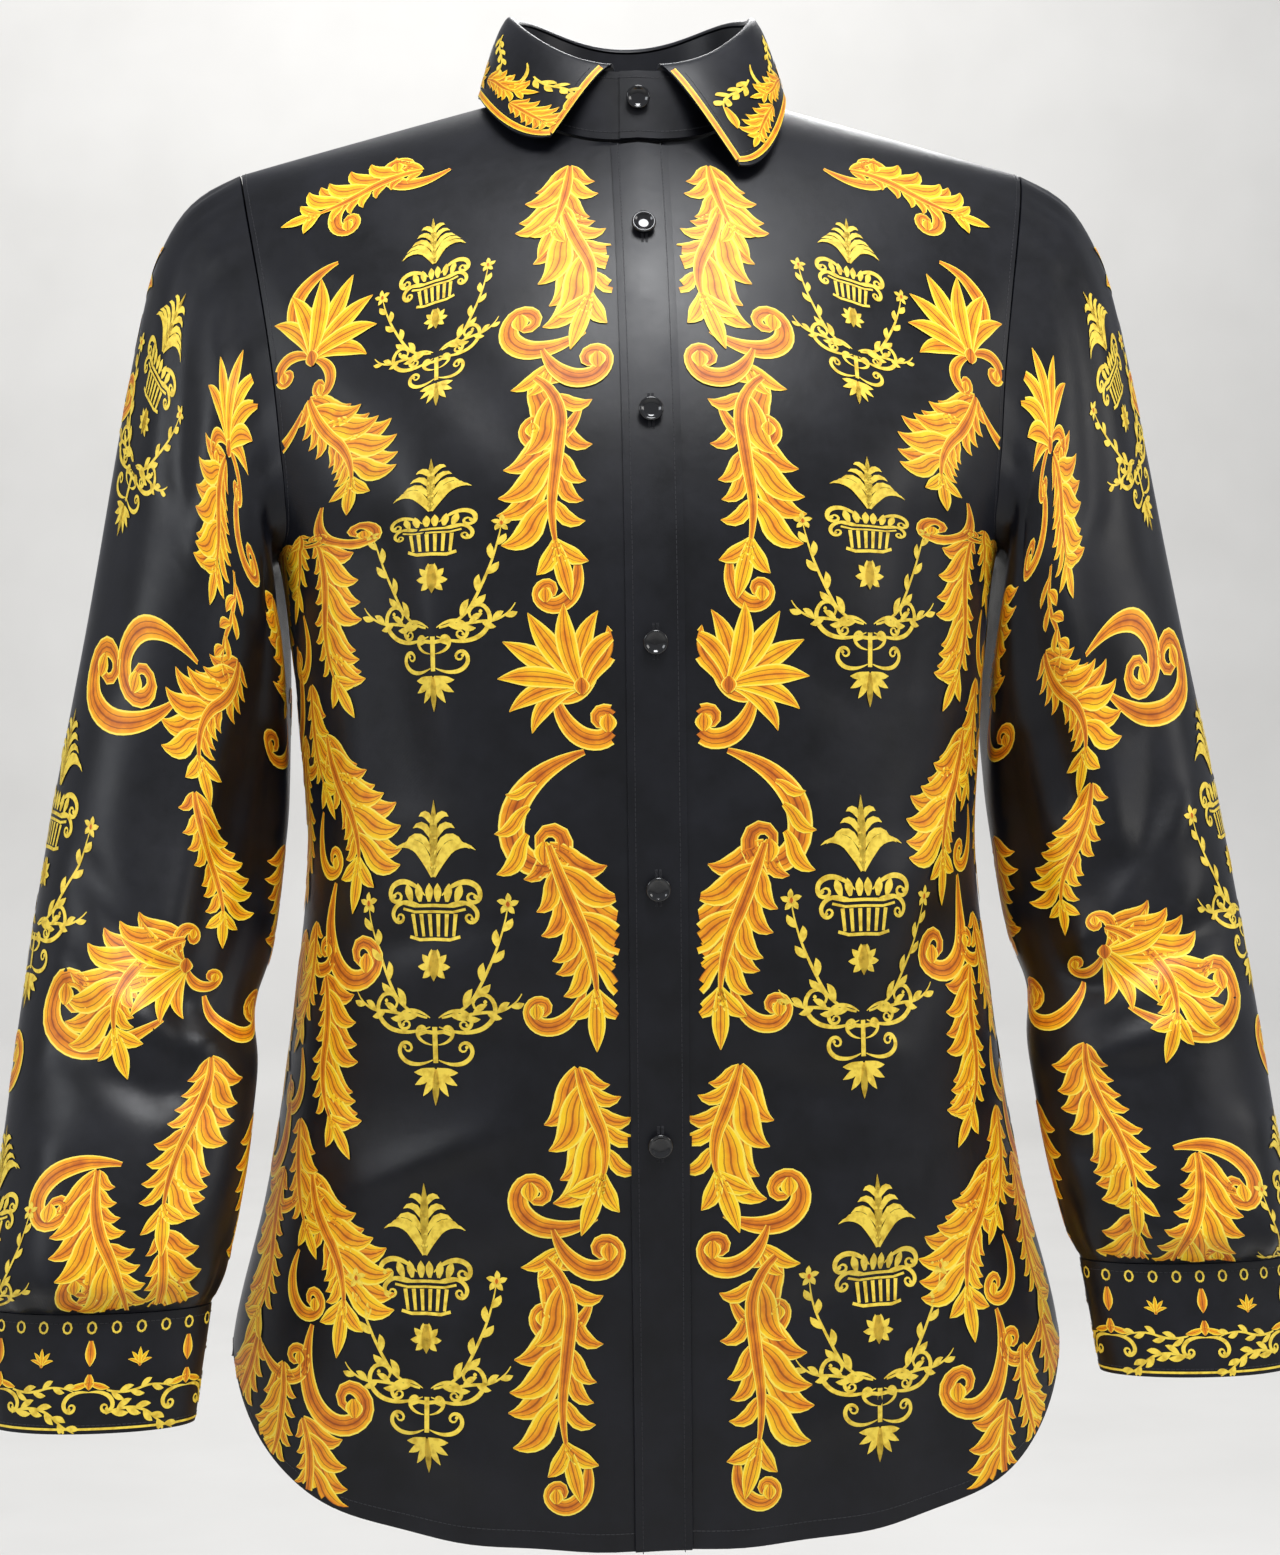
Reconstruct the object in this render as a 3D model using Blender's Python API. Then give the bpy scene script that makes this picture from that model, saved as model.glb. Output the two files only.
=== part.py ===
"""A long-sleeved, collared, button-front shirt, hollow and in the form that it takes when worn.

Metres, +Z up. The front faces -Y and the wearer's left is +X. The origin is on the shirt's
centre plane, level with the points where the shoulder seams meet the collar. Each cloth piece
is one closed wall: a grid of points on its middle surface, moved half a thickness each way.
The body form is read by row t (0 on the shoulder ridge, 1 at chest height, more below) and by
an angle across each half section (0 at the centre line, pi/2 at the side seam).
"""

import math

import bmesh
import bpy
from mathutils import Vector

# Cloth
WALL = 0.0012
STIFF_WALL = 0.0020  # collar stand, collar leaf and cuffs, which are fused double
GAP = 0.0003
LAP = WALL + GAP  # how far a piece that lies on a panel stands out from it

# Body form
SHOULDER_TIP = (0.219, -0.040)
SHOULDER_FALL = 0.28
RIDGE_TOP = SHOULDER_TIP[1] + SHOULDER_FALL * SHOULDER_TIP[0]
CHEST = -0.300
ROW_DROP = 0.408
SQUARENESS = 2.4
DEPTH = {-1: 0.140, 1: 0.110}
FALL_POWER = {-1: 1.27, 1: 2.8}
UNDERARM_Z = -0.255
UNDERARM_ROW = 0.888
ARMHOLE_REACH = 0.68
HALF_WIDTH = ((-0.83, 0.240), (-0.69, 0.231), (-0.61, 0.212), (-0.55, 0.201),
              (-0.50, 0.194), (-0.42, 0.186), (-0.36, 0.189), (-0.30, 0.194),
              (-0.255, 0.2005), (-0.225, 0.2140), (-0.192, 0.2275), (-0.109, 0.2525),
              (-0.040, 0.2700), (0.025, 0.2800))
TAPER = {-1: ((-0.83, 0.845), (-0.569, 0.929), (-0.436, 0.986), (-0.30, 1.0)),
         1: ((-0.83, 0.90), (-0.60, 0.92), (-0.43, 0.90), (-0.30, 1.0))}
HEM = {-1: -0.783, 1: -0.797}
HEM_LEVEL = -0.60  # the rows are level down to here and take the hem's shape below it
NECK_HALF = 0.070
NECK_ROW = {-1: 0.243, 1: 0.381}

# Soft folds of the front: where each one starts and ends (x, z), its width and its height
FOLDS = (((-0.150, -0.215), (-0.128, -0.400), 0.022, -0.0050),
         ((-0.170, -0.560), (-0.060, -0.500), 0.030, -0.0035),
         ((0.165, -0.375), (0.110, -0.470), 0.026, 0.0060),
         ((0.175, -0.440), (0.120, -0.520), 0.024, -0.0045),
         ((0.040, -0.640), (0.150, -0.600), 0.030, 0.0030))

# Front edges and placket
LEFT_EDGE = 0.0135
RIGHT_EDGE = -0.0125  # past the centre line, under the placket
PLACKET = (-0.0150, 0.0155)
FRONT_LINES = {1: (0.0190, 0.0270), -1: (0.0, 0.0200)}  # grid lines next to the edges
ARMHOLE_SHARES = (0, 0.09, 0.18, 0.27, 0.36, 0.45, 0.54, 0.63, 0.72, 0.81, 0.89, 0.95, 0.985, 1)
YOKE_ROW = 0.706
YOKE_PARTS = 4  # parts of the armhole that the yoke takes
YOKE_TILT = 1 - UNDERARM_ROW * ARMHOLE_SHARES[YOKE_PARTS] / YOKE_ROW
SEAM_STEP = 0.0007
BACK_COLUMNS = 10

# Sleeve, as the run of its outer and inner line in (x, z)
OUTER_LINE = ((0.219, -0.040), (0.245, -0.058), (0.263, -0.085), (0.274, -0.116),
              (0.284, -0.162), (0.305, -0.280), (0.326, -0.400), (0.339, -0.500),
              (0.347, -0.580), (0.353, -0.632), (0.350, -0.650))
INNER_LINE = ((0.2005, -0.255), (0.2065, -0.262), (0.2035, -0.285), (0.1985, -0.330),
              (0.1975, -0.390), (0.2010, -0.430), (0.2080, -0.490), (0.2130, -0.540),
              (0.2190, -0.590), (0.2280, -0.632), (0.2360, -0.650))
CAP_LEAD = 1.45
SLEEVE_DEPTH = ((0.0, 0.066), (0.15, 0.066), (0.35, 0.058), (0.60, 0.052), (0.80, 0.047),
                (0.93, 0.044), (0.975, 0.036), (1.0, 0.028))
SLEEVE_ROUND = 0.0045
SLEEVE_STEPS = (0, 0.012, 0.030, 0.055, 0.09, 0.14, 0.20, 0.28, 0.37, 0.46, 0.55,
                0.64, 0.74, 0.84, 0.93, 0.975, 1.0)
FOREARM_FORWARD = {-1: 0.095, 1: 0.060}  # right sleeve, left sleeve
FOREARM_DROP = {-1: 0.002, 1: -0.005}
CUFF_DEEP = 0.060
CUFF_NARROWS = 0.90
CUFF_LAP = math.radians(26)
CUFF_START = math.radians(-62)

# Collar
STAND_DEEP = (0.0395, 0.0440)
STAND_FOOT = 0.0020  # clear of the neck edge of the wall below it
STAND_LEAN = 0.004
STAND_ENDS = (math.radians(-8), math.radians(373))  # the left end laps over the right one
LEAF_ENDS = (math.radians(9), math.radians(349.5))
LEAF_TIP = {1: (0.0530, 0.285), -1: (0.0470, 0.225)}  # across, row
LEAF_SIDE = 0.084
LEAF_BACK_ROW = 0.470

# Buttons
BUTTON_HEIGHTS = (-0.086, -0.189, -0.309, -0.436, -0.569)
COLLAR_BUTTON_RISE = 0.0235
BUTTON_RADIUS = 0.0065
BUTTON_THICK = 0.0034
SHANK = (0.0018, 0.0016)  # radius, length
BUTTON_SIDES = 14
BUTTON_DROOP = math.radians(2.4)

SHARP_DEGREES = 40  # edges sharper than this show as edges


def through(pairs, at):
    """The smooth curve through (place, value) pairs, read at one place."""
    places = [p for p, _ in pairs]
    values = [v for _, v in pairs]
    at = min(max(at, places[0]), places[-1])
    k = max(i for i in range(len(places) - 1) if places[i] <= at)

    def slope(i):
        low, high = max(i - 1, 0), min(i + 1, len(places) - 1)
        return (values[high] - values[low]) / (places[high] - places[low])

    step = places[k + 1] - places[k]
    f = (at - places[k]) / step
    return ((2 * f**3 - 3 * f**2 + 1) * values[k] + (f**3 - 2 * f**2 + f) * step * slope(k)
            + (3 * f**2 - 2 * f**3) * values[k + 1] + (f**3 - f**2) * step * slope(k + 1))


def ease(f):
    """0 below 0, 1 above 1 and smooth between."""
    f = min(max(f, 0.0), 1.0)
    return f * f * (3 - 2 * f)


# ---------------------------------------------------------------- body form

def row_of(face, z):
    """The row that passes the centre line at height z."""
    if z < CHEST:
        return 1 + (CHEST - z) / ROW_DROP
    return ((RIDGE_TOP - z) / (RIDGE_TOP - CHEST)) ** (1 / FALL_POWER[face])


def centre_height(face, t):
    if t > 1:
        return CHEST - ROW_DROP * (t - 1)
    return RIDGE_TOP - (RIDGE_TOP - CHEST) * t ** FALL_POWER[face]


def section_end(face, t):
    """Height and angle where row t meets the armhole or the side seam."""
    if t < UNDERARM_ROW:
        f = t / UNDERARM_ROW
        middle = (SHOULDER_TIP[1] + UNDERARM_Z) / 2
        z = middle + (SHOULDER_TIP[1] - middle) * math.cos(math.pi * f)
        reach = ARMHOLE_REACH * (1 - f**4) ** 0.6
        return z, math.acos(reach ** (SQUARENESS / 2))
    if t < 1:
        share = (t - UNDERARM_ROW) / (1 - UNDERARM_ROW)
        return UNDERARM_Z + (CHEST - UNDERARM_Z) * share, math.pi / 2
    return centre_height(face, t), math.pi / 2


def hem_rise(u):
    """How far the shirt-tail hem rises from the centre line out to the side seam."""
    return 0.045 * u**2.6 + 0.052 * u**12


def fold_lift(x, z):
    lift = 0.0
    for (x0, z0), (x1, z1), width, height in FOLDS:
        run = Vector((x1 - x0, z1 - z0))
        place = Vector((x - x0, z - z0))
        along = place.dot(run) / run.length_squared
        off = (place - run * min(max(along, 0), 1)).length
        lift += height * math.exp(-(off / width) ** 2)
    return lift


def row_height(face, t, u):
    """Height of row t at a share u of the way out to its end."""
    z = centre_height(face, t)
    z += (section_end(face, t)[0] - z) * u ** (1 + (0.8 * min(t, 1) if face < 0 else ease(t / 0.35)))
    if t > 1:
        down = (t - row_of(face, HEM_LEVEL)) / (row_of(face, HEM[face]) - row_of(face, HEM_LEVEL))
        z += hem_rise(u) * max(down, 0) ** 2
    return z


def body_form(face, t, angle, side=1):
    """A point of the worn body: face -1 is the front and 1 the back, side 1 is the wearer's left."""
    end = section_end(face, t)[1]
    angle = min(angle, end)
    out = math.sin(angle) ** (2 / SQUARENESS)
    u = out / math.sin(end) ** (2 / SQUARENESS)
    z = row_height(face, t, u)
    half = through(HALF_WIDTH, z)
    level = t + (row_of(face, z) - t) * ease((t - 0.45) / 0.40)
    deep = DEPTH[face] * math.sin(math.pi / 2 * min(level, 1)) * through(TAPER[face], z)
    x, y = out * half, deep * math.cos(angle) ** (2 / SQUARENESS)
    if face < 0:
        lift = fold_lift(side * x, z) * (1 - u**6)
        way = Vector((x / half**2, y / max(deep, 0.03) ** 2)).normalized()
        x, y = x + way.x * lift, y + way.y * lift
    return Vector((side * x, face * y, z))


def level_normal(face, point):
    """The outward direction below the shoulders, where width and depth follow the height."""
    def sizes(z):
        deep = DEPTH[face] * math.sin(math.pi / 2 * min(row_of(face, z), 1))
        return through(HALF_WIDTH, z), deep * through(TAPER[face], z)

    (half, deep), (half_up, deep_up) = sizes(point.z), sizes(point.z + 0.001)
    across, ahead = min(abs(point.x) / half, 1), min(abs(point.y) / deep, 1)
    power = SQUARENESS
    rise = across**power * (half_up / half - 1) + ahead**power * (deep_up / deep - 1)
    return Vector((math.copysign(across ** (power - 1) / half, point.x),
                   face * ahead ** (power - 1) / deep, -rise / 0.001)).normalized()


def body_normal(face, t, angle, side=1):
    """The outward direction of the body form, shared by both faces along the shoulder ridge."""
    low = level_normal(face, body_form(face, t, angle, side)) if t > 0.6 else Vector()
    if t > 0.8:
        return low
    ridge = Vector((side * SHOULDER_FALL, 0, 1)).normalized()
    at = max(t, 0.004)
    share = min(max(angle / section_end(face, at)[1], 0.01), 0.99)
    ends = [section_end(face, at + step)[1] * share for step in (-0.002, 0.002)]
    down = body_form(face, at + 0.002, ends[1], side) - body_form(face, at - 0.002, ends[0], side)
    middle = section_end(face, at)[1] * share
    across = body_form(face, at, middle + 0.005, side) - body_form(face, at, middle - 0.005, side)
    out = (across.cross(down) * face * side).normalized()
    out = (ridge * (1 - ease(t / 0.10)) + out * ease(t / 0.10)).normalized()
    return (out * (1 - ease((t - 0.6) / 0.2)) + low * ease((t - 0.6) / 0.2)).normalized()


def angle_at(face, t, x):
    """The angle across row t at a distance x from the centre line."""
    end = section_end(face, t)[1]
    whole = math.sin(end) ** (2 / SQUARENESS)
    out = x / 0.25
    for _ in range(8):
        out = x / through(HALF_WIDTH, row_height(face, t, min(out / whole, 1)))
    return math.asin(min(out, whole) ** (SQUARENESS / 2))


def neck_edge(face, t):
    """How far from the centre line the neck opening cuts row t."""
    f = min(t / NECK_ROW[face], 1.0)
    return NECK_HALF * math.sqrt(1 - f * f)


# ---------------------------------------------------------------- solids

def solid(name, points, faces, material):
    """One closed mesh object, turned so that its faces point out."""
    bm = bmesh.new()
    made = [bm.verts.new(p) for p in points]
    for corners in faces:
        bm.faces.new([made[i] for i in corners])
    if bm.calc_volume(signed=True) < 0:
        bmesh.ops.reverse_faces(bm, faces=bm.faces[:])
    mesh = bpy.data.meshes.new(name)
    bm.to_mesh(mesh)
    bm.free()
    mesh.shade_smooth()
    mesh.set_sharp_from_angle(angle=math.radians(SHARP_DEGREES))
    mesh.materials.append(material)
    piece = bpy.data.objects.new(name, mesh)
    bpy.context.scene.collection.objects.link(piece)
    return piece


def cloth_wall(name, grid, thick, material, tube=False, opening=None):
    """A closed wall from rows of (point, outward direction); a tube's rows join end to end.

    opening says, from a cell's row and column, whether the cell is left out.
    """
    rows, cols = len(grid), len(grid[0])
    points = [p + n * thick / 2 for row in grid for p, n in row]
    points += [p - n * thick / 2 for row in grid for p, n in row]
    inner = rows * cols
    cells = [(r, c) for r in range(rows - 1) for c in range(cols if tube else cols - 1)
             if not (opening and opening(r, c))]
    faces, sides = [], {}
    for r, c in cells:
        a, b = r * cols + c, r * cols + (c + 1) % cols
        corners = (a, b, b + cols, a + cols)
        first = (points[a] - points[b + cols]).length > (points[b] - points[a + cols]).length
        cut = corners[first:] + corners[:first]  # along the shorter diagonal
        faces += [cut[:3], (cut[0], cut[2], cut[3])]
        faces += [tuple(inner + i for i in reversed(f)) for f in faces[-2:]]
        for i in range(4):
            start, end = corners[i], corners[(i + 1) % 4]
            if sides.pop((end, start), None) is None:
                sides[(start, end)] = True
    for start, end in sides:
        faces += [(end, start, inner + start), (end, inner + start, inner + end)]
    used = sorted({i for f in faces for i in f})
    place = {old: new for new, old in enumerate(used)}
    return solid(name, [points[i] for i in used],
                 [tuple(place[i] for i in f) for f in faces], material)


def plain_material(name, colour, roughness):
    material = bpy.data.materials.new(name)
    material.use_nodes = True
    shader = material.node_tree.nodes["Principled BSDF"]
    shader.inputs["Base Color"].default_value = (*colour, 1)
    shader.inputs["Roughness"].default_value = roughness
    shader.inputs["Metallic"].default_value = 0.0
    return material


# ---------------------------------------------------------------- fronts, placket, yoke and back

def spread(first, last, count):
    return [first + (last - first) * i / count for i in range(count + 1)]


def body_row(face, t, side, first_angle, columns):
    """Grid points across one half of row t, from an inner angle out to its end."""
    end = section_end(face, t)[1]
    row = []
    for angle in spread(first_angle, end, columns):
        point = body_form(face, t, angle, side)
        if abs(point.y) < GAP / 2:
            point.y = face * GAP / 2
        row.append((point, body_normal(face, t, angle, side)))
    return row


def armhole_rows(first, last):
    """Rows that meet the armhole where the sleeve's own points lie."""
    return [UNDERARM_ROW * share for share in ARMHOLE_SHARES[first:last]]


def front_rows():
    """Rows of a front: close together along the neck curve, then even down to the hem."""
    corner = NECK_ROW[-1] * math.sqrt(1 - (LEFT_EDGE / NECK_HALF) ** 2)
    neck = [0.0008] + armhole_rows(1, 3) + [0.205, 0.228, corner]
    below = [NECK_ROW[-1] + 0.006] + armhole_rows(4, None)
    return neck, below + spread(UNDERARM_ROW, row_of(-1, HEM[-1]), 12)[1:]


def front_point(t, x, side):
    """Point and outward direction of the front at a distance from the centre line."""
    turn = side if x >= 0 else -side
    angle = angle_at(-1, t, abs(x))
    return body_form(-1, t, angle, turn), body_normal(-1, t, max(angle, 0.02), turn)


def front(name, side, edge, material):
    """One front panel, from its edge by the centre line out to the armhole and side seam."""
    neck, below = front_rows()
    grid = [body_row(-1, t, side, angle_at(-1, t, max(neck_edge(-1, t), LEFT_EDGE)), 12)
            for t in neck]
    for t in below:
        near, far = FRONT_LINES[side]
        under = [front_point(t, edge, side), front_point(t, near, side)]
        grid.append(under + body_row(-1, t, side, angle_at(-1, t, far), 10))
    return cloth_wall(name, grid, WALL, material)


def placket(material):
    """The folded front band, sewn on the left front and lapped over the right one."""
    grid = []
    rows = front_rows()[1]
    for t in [rows[0] + 0.002] + rows[1:]:
        row = []
        for x in (PLACKET[0], 0, PLACKET[1]):
            point, out = front_point(t, x, 1)
            row.append((point + out * (LAP + GAP), out))
        grid.append(row)
    return cloth_wall("placket", grid, WALL, material)


def back_row(tau, tilt, columns, first=0.0):
    """A row over the whole back; tilt lets it drop less towards the armholes than row tau."""
    halves = []
    for side in (-1, 1):
        row = []
        for share in spread(0, 1, columns):
            t = tau * (1 - tilt * share**1.5)
            angle = first + (section_end(1, t)[1] - first) * share
            point = body_form(1, t, angle, side)
            point.y = max(point.y, GAP / 2)
            row.append((point, body_normal(1, t, angle, side)))
        halves.append(row)
    return halves[0][::-1] + halves[1]


def yoke(material):
    """The shoulder piece: two arms beside the neck that join below it, in one cut."""
    stretch = YOKE_ROW / ARMHOLE_SHARES[YOKE_PARTS]
    taus = [0.0008, stretch * ARMHOLE_SHARES[1], 0.28, 0.34, 0.370, 0.3809]
    grid = [back_row(t, YOKE_TILT, BACK_COLUMNS, angle_at(1, t, neck_edge(1, t))) for t in taus]
    neck_rows = len(taus)
    for tau in (0.40, stretch * ARMHOLE_SHARES[3], YOKE_ROW - SEAM_STEP):
        grid.append(back_row(tau, YOKE_TILT, BACK_COLUMNS, 0.004))
    return cloth_wall("yoke", grid, WALL, material,
                      opening=lambda r, c: c == BACK_COLUMNS and r < neck_rows - 1)


def back(material):
    """The back below the yoke, down to its shirt-tail hem."""
    grid = []
    first = ARMHOLE_SHARES[YOKE_PARTS]
    for share in ARMHOLE_SHARES[YOKE_PARTS:]:
        down = (share - first) / (1 - first)
        tau = YOKE_ROW + (UNDERARM_ROW - YOKE_ROW) * down
        tilt = 1 - UNDERARM_ROW * share / tau
        tau += SEAM_STEP if share == first else 0
        grid.append(back_row(tau, tilt, BACK_COLUMNS, 0.004))
    for t in spread(UNDERARM_ROW, row_of(1, HEM[1]), 11)[1:]:
        grid.append(back_row(t, 0, BACK_COLUMNS, 0.004))
    return cloth_wall("back", grid, WALL, material)


# ---------------------------------------------------------------- sleeves and cuffs

def along(line, share):
    """The point of a line of (x, z) points at a share of its length."""
    run = [0.0]
    for (x0, z0), (x1, z1) in zip(line, line[1:]):
        run.append(run[-1] + math.hypot(x1 - x0, z1 - z0))
    at = share * run[-1]
    return (through(list(zip(run, [p[0] for p in line])), at),
            through(list(zip(run, [p[1] for p in line])), at))


def armhole(turn):
    """Point, body direction and way out of the seam at an angle round the left armhole."""
    def point(a):
        a %= 2 * math.pi
        face = -1 if a <= math.pi else 1
        t = UNDERARM_ROW * (a if a <= math.pi else 2 * math.pi - a) / math.pi
        return face, t, body_form(face, t, section_end(face, t)[1])

    face, t, here = point(turn)
    out = body_normal(face, t, section_end(face, t)[1])
    run = (point(turn + 0.02)[2] - point(turn - 0.02)[2]).normalized()
    return here, out, out.cross(run).normalized()


def sleeve_oval(s, turn, side):
    """The plain tube of the left sleeve; side only sets how the forearm hangs."""
    x0, z0 = along(OUTER_LINE, 1 - (1 - s) ** CAP_LEAD)
    x1, z1 = along(INNER_LINE, s)
    deep = through(SLEEVE_DEPTH, s)
    hang = ease((s - 0.25) / 0.75)
    middle = Vector(((x0 + x1) / 2, -FOREARM_FORWARD[side] * hang,
                     (z0 + z1) / 2 - FOREARM_DROP[side] * hang))
    return middle + Vector(((x0 - x1) / 2, 0, (z0 - z1) / 2)) * math.cos(turn) + Vector(
        (0, -deep, 0)) * math.sin(turn)


def sleeve_form(s, turn, side):
    """A point of the left sleeve, which leaves the armhole and becomes a hanging tube."""
    here, _, away = armhole(turn)
    settle = 1 - ease(s / 0.40)
    start = here - sleeve_oval(0, turn, side)
    rise = 4 * GAP * (1 - ease(s / 0.1)) + SLEEVE_ROUND * ease(s / 0.012) * (1 - ease((s - 0.012) / 0.12))
    bend = -0.006 * math.exp(-((s - 0.62) / 0.05) ** 2) * max(-math.cos(turn), 0)
    point = sleeve_oval(s, turn, side) + start * settle + away * rise
    return point + Vector((-bend, 0, 0))


def sleeve_normal(s, turn, side):
    if s == 0:
        return armhole(turn)[1]
    if s == 1:
        return cuff_form(side, 0, turn)[1]
    step = 0.004
    low, high = max(s - step, 0), min(s + step, 1)
    run = sleeve_form(high, turn, side) - sleeve_form(low, turn, side)
    round_it = sleeve_form(s, turn + 0.03, side) - sleeve_form(s, turn - 0.03, side)
    return round_it.cross(run).normalized()


def placed(point, side):
    return Vector((side * point.x, point.y, point.z))


def sleeve(name, side, material):
    half = [math.pi * share for share in ARMHOLE_SHARES]
    turns = half + [2 * math.pi - a for a in half[-2:0:-1]]
    grid = [[(placed(sleeve_form(s, a, side), side), placed(sleeve_normal(s, a, side), side))
             for a in turns] for s in SLEEVE_STEPS]
    return cloth_wall(name, grid, WALL, material, tube=True)


def wrist(side):
    """Centre, down-arm direction, across and forward half-axes of the cuff's top."""
    top = (sleeve_form(1, 0, side) + sleeve_form(1, math.pi, side)) / 2
    across = (sleeve_form(1, 0, side) - sleeve_form(1, math.pi, side)) / 2
    ahead = (sleeve_form(1, math.pi / 2, side) - sleeve_form(1, 3 * math.pi / 2, side)) / 2
    down = Vector((0.05, -0.14, -1)).normalized()
    return top, down, across, ahead


def cuff_form(side, down_share, turn, out=0.0):
    top, down, across, ahead = wrist(side)
    narrow = 1 + (CUFF_NARROWS - 1) * down_share
    flat = across * math.cos(turn) * narrow + ahead * math.sin(turn)
    grow = (across * math.cos(turn) / across.length_squared
            + ahead * math.sin(turn) / ahead.length_squared).normalized()
    return top + down * (2 * GAP + CUFF_DEEP * down_share) + flat + grow * out, grow


def cuff(name, side, material):
    """A band round the wrist whose end laps over its start."""
    grid = []
    for share in (0, 0.5, 1):
        row = []
        for i in range(29):
            turn = CUFF_START + (2 * math.pi + CUFF_LAP) * i / 28
            over = ease((turn - CUFF_START - 2 * math.pi + 0.75) / 0.7)
            point, out = cuff_form(side, share, turn, (STIFF_WALL + 2 * GAP) * over)
            row.append((placed(point, side), placed(out, side)))
        grid.append(row)
    return cloth_wall(name, grid, STIFF_WALL, material)


def sleeve_placket(name, side, material):
    """The narrow bound strip over the slit above the cuff, on the sleeve's outer back."""
    grid = []
    for s in spread(0.790, 0.955, 7):
        row = []
        for turn in spread(math.radians(-52), math.radians(-28), 3):
            out = sleeve_normal(s, turn, side)
            row.append((placed(sleeve_form(s, turn, side) + out * (LAP + GAP), side),
                        placed(out, side)))
        grid.append(row)
    return cloth_wall(name, grid, WALL, material)


# ---------------------------------------------------------------- collar

def neck_ring(turn):
    """Point of the neck seam, way out and height of the stand: 0 is the front, pi the back."""
    turn %= 2 * math.pi
    side = 1 if turn <= math.pi else -1
    a = turn if turn <= math.pi else 2 * math.pi - turn
    face = -1 if a < math.pi / 2 else 1
    t = NECK_ROW[face] * abs(math.cos(a))
    point = body_form(face, t, angle_at(face, t, NECK_HALF * math.sin(a)), side)
    out = Vector((math.sin(turn) / NECK_HALF, -math.cos(turn) / 0.057, 0)).normalized()
    tall = STAND_DEEP[0] + (STAND_DEEP[1] - STAND_DEEP[0]) * ease(a / math.radians(60))
    return point, out, tall


def stand_form(turn, share, lap=0.0):
    point, out, tall = neck_ring(turn)
    rise = STAND_FOOT + (tall - STAND_FOOT) * share
    return point + Vector((0, 0, rise)) + out * (lap - STAND_LEAN * share), out


def collar_stand(material):
    grid = []
    for share in (0, 0.5, 1):
        row = []
        for turn in spread(*STAND_ENDS, 36):
            over = 1 - ease((turn - 0.35) / 0.5)
            row.append(stand_form(turn, share, (STIFF_WALL + 2 * GAP) * over))
        grid.append(row)
    return cloth_wall("collar_stand", grid, STIFF_WALL, material)


def leaf_edge(turn):
    """The outer edge of the turned-down leaf, just above the body that it lies over."""
    side = 1 if turn <= math.pi else -1
    a = turn if turn <= math.pi else 2 * math.pi - turn
    tip_x, tip_row = LEAF_TIP[side]
    if a < math.pi / 2:
        first = LEAF_ENDS[0] if side > 0 else 2 * math.pi - LEAF_ENDS[1]
        f = (a - first) / (math.pi / 2 - first)
        x = tip_x + (LEAF_SIDE - tip_x) * math.sin(f * math.pi / 2)
        face, t, lift = -1, tip_row * math.cos(f * math.pi / 2), 0.008 - 0.002 * f
    else:
        x, face, t = LEAF_SIDE * math.sin(a), 1, LEAF_BACK_ROW * -math.cos(a)
        lift = 0.006 + 0.006 * -math.cos(a)
    angle = angle_at(face, t, x)
    return body_form(face, t, angle, side) + body_normal(face, t, angle, side) * lift


def leaf_form(turn, share):
    """The leaf leaves the top of the stand, rolls over and comes down to its edge."""
    lap = (STIFF_WALL + 2 * GAP) * (1 - ease((turn - 0.35) / 0.5))
    start, out = stand_form(turn, 1, lap)
    start = start + Vector((0, 0, 2.5 * GAP))
    end = leaf_edge(turn)
    leave = Vector((0, 0, 0.034)) + out * 0.014
    arrive = (end - start) * 1.1 + Vector((0, 0, -0.010))
    f = share
    return (start * (2 * f**3 - 3 * f**2 + 1) + leave * (f**3 - 2 * f**2 + f)
            + end * (3 * f**2 - 2 * f**3) + arrive * (f**3 - f**2))


def collar_leaf(material):
    grid = []
    for share in (0, 0.05, 0.12, 0.22, 0.42, 0.70, 1):
        row = []
        for turn in spread(*LEAF_ENDS, 32):
            low, high = max(share - 0.02, 0), min(share + 0.02, 1)
            run = leaf_form(turn, high) - leaf_form(turn, low)
            near = max(turn - 0.03, LEAF_ENDS[0]), min(turn + 0.03, LEAF_ENDS[1])
            round_it = leaf_form(near[1], share) - leaf_form(near[0], share)
            out = stand_form(turn, 1)[1] if share == 0 else round_it.cross(run).normalized()
            row.append((leaf_form(turn, share), out))
        grid.append(row)
    return cloth_wall("collar_leaf", grid, STIFF_WALL, material)


# ---------------------------------------------------------------- buttons

def button(name, seat, out, material):
    """A turned button on its shank: seat is the point of the cloth, out the way it faces."""
    shank_radius, shank_long = SHANK
    r, top = BUTTON_RADIUS, shank_long + BUTTON_THICK
    outline = ((shank_radius, 0), (shank_radius, shank_long), (r * 0.80, shank_long + 0.0003),
               (r, shank_long + 0.0013), (r * 0.97, top - 0.0005), (r * 0.84, top),
               (r * 0.66, top - 0.0008), (r * 0.50, top - 0.0012))
    points, faces = [Vector((0, 0, 0)), Vector((0, 0, outline[-1][1]))], []
    for radius, height in outline:
        for i in range(BUTTON_SIDES):
            a = 2 * math.pi * i / BUTTON_SIDES
            points.append(Vector((radius * math.cos(a), radius * math.sin(a), height)))
    last = 2 + (len(outline) - 1) * BUTTON_SIDES
    for i in range(BUTTON_SIDES):
        j = (i + 1) % BUTTON_SIDES
        faces.append((0, 2 + j, 2 + i))
        faces.append((1, last + i, last + j))
        for k in range(len(outline) - 1):
            a, b = 2 + k * BUTTON_SIDES + i, 2 + k * BUTTON_SIDES + j
            faces.append((a, b, b + BUTTON_SIDES, a + BUTTON_SIDES))
    piece = solid(name, points, faces, material)
    piece.location = seat
    piece.rotation_euler = out.to_track_quat("Z", "Y").to_euler()
    return piece


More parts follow.
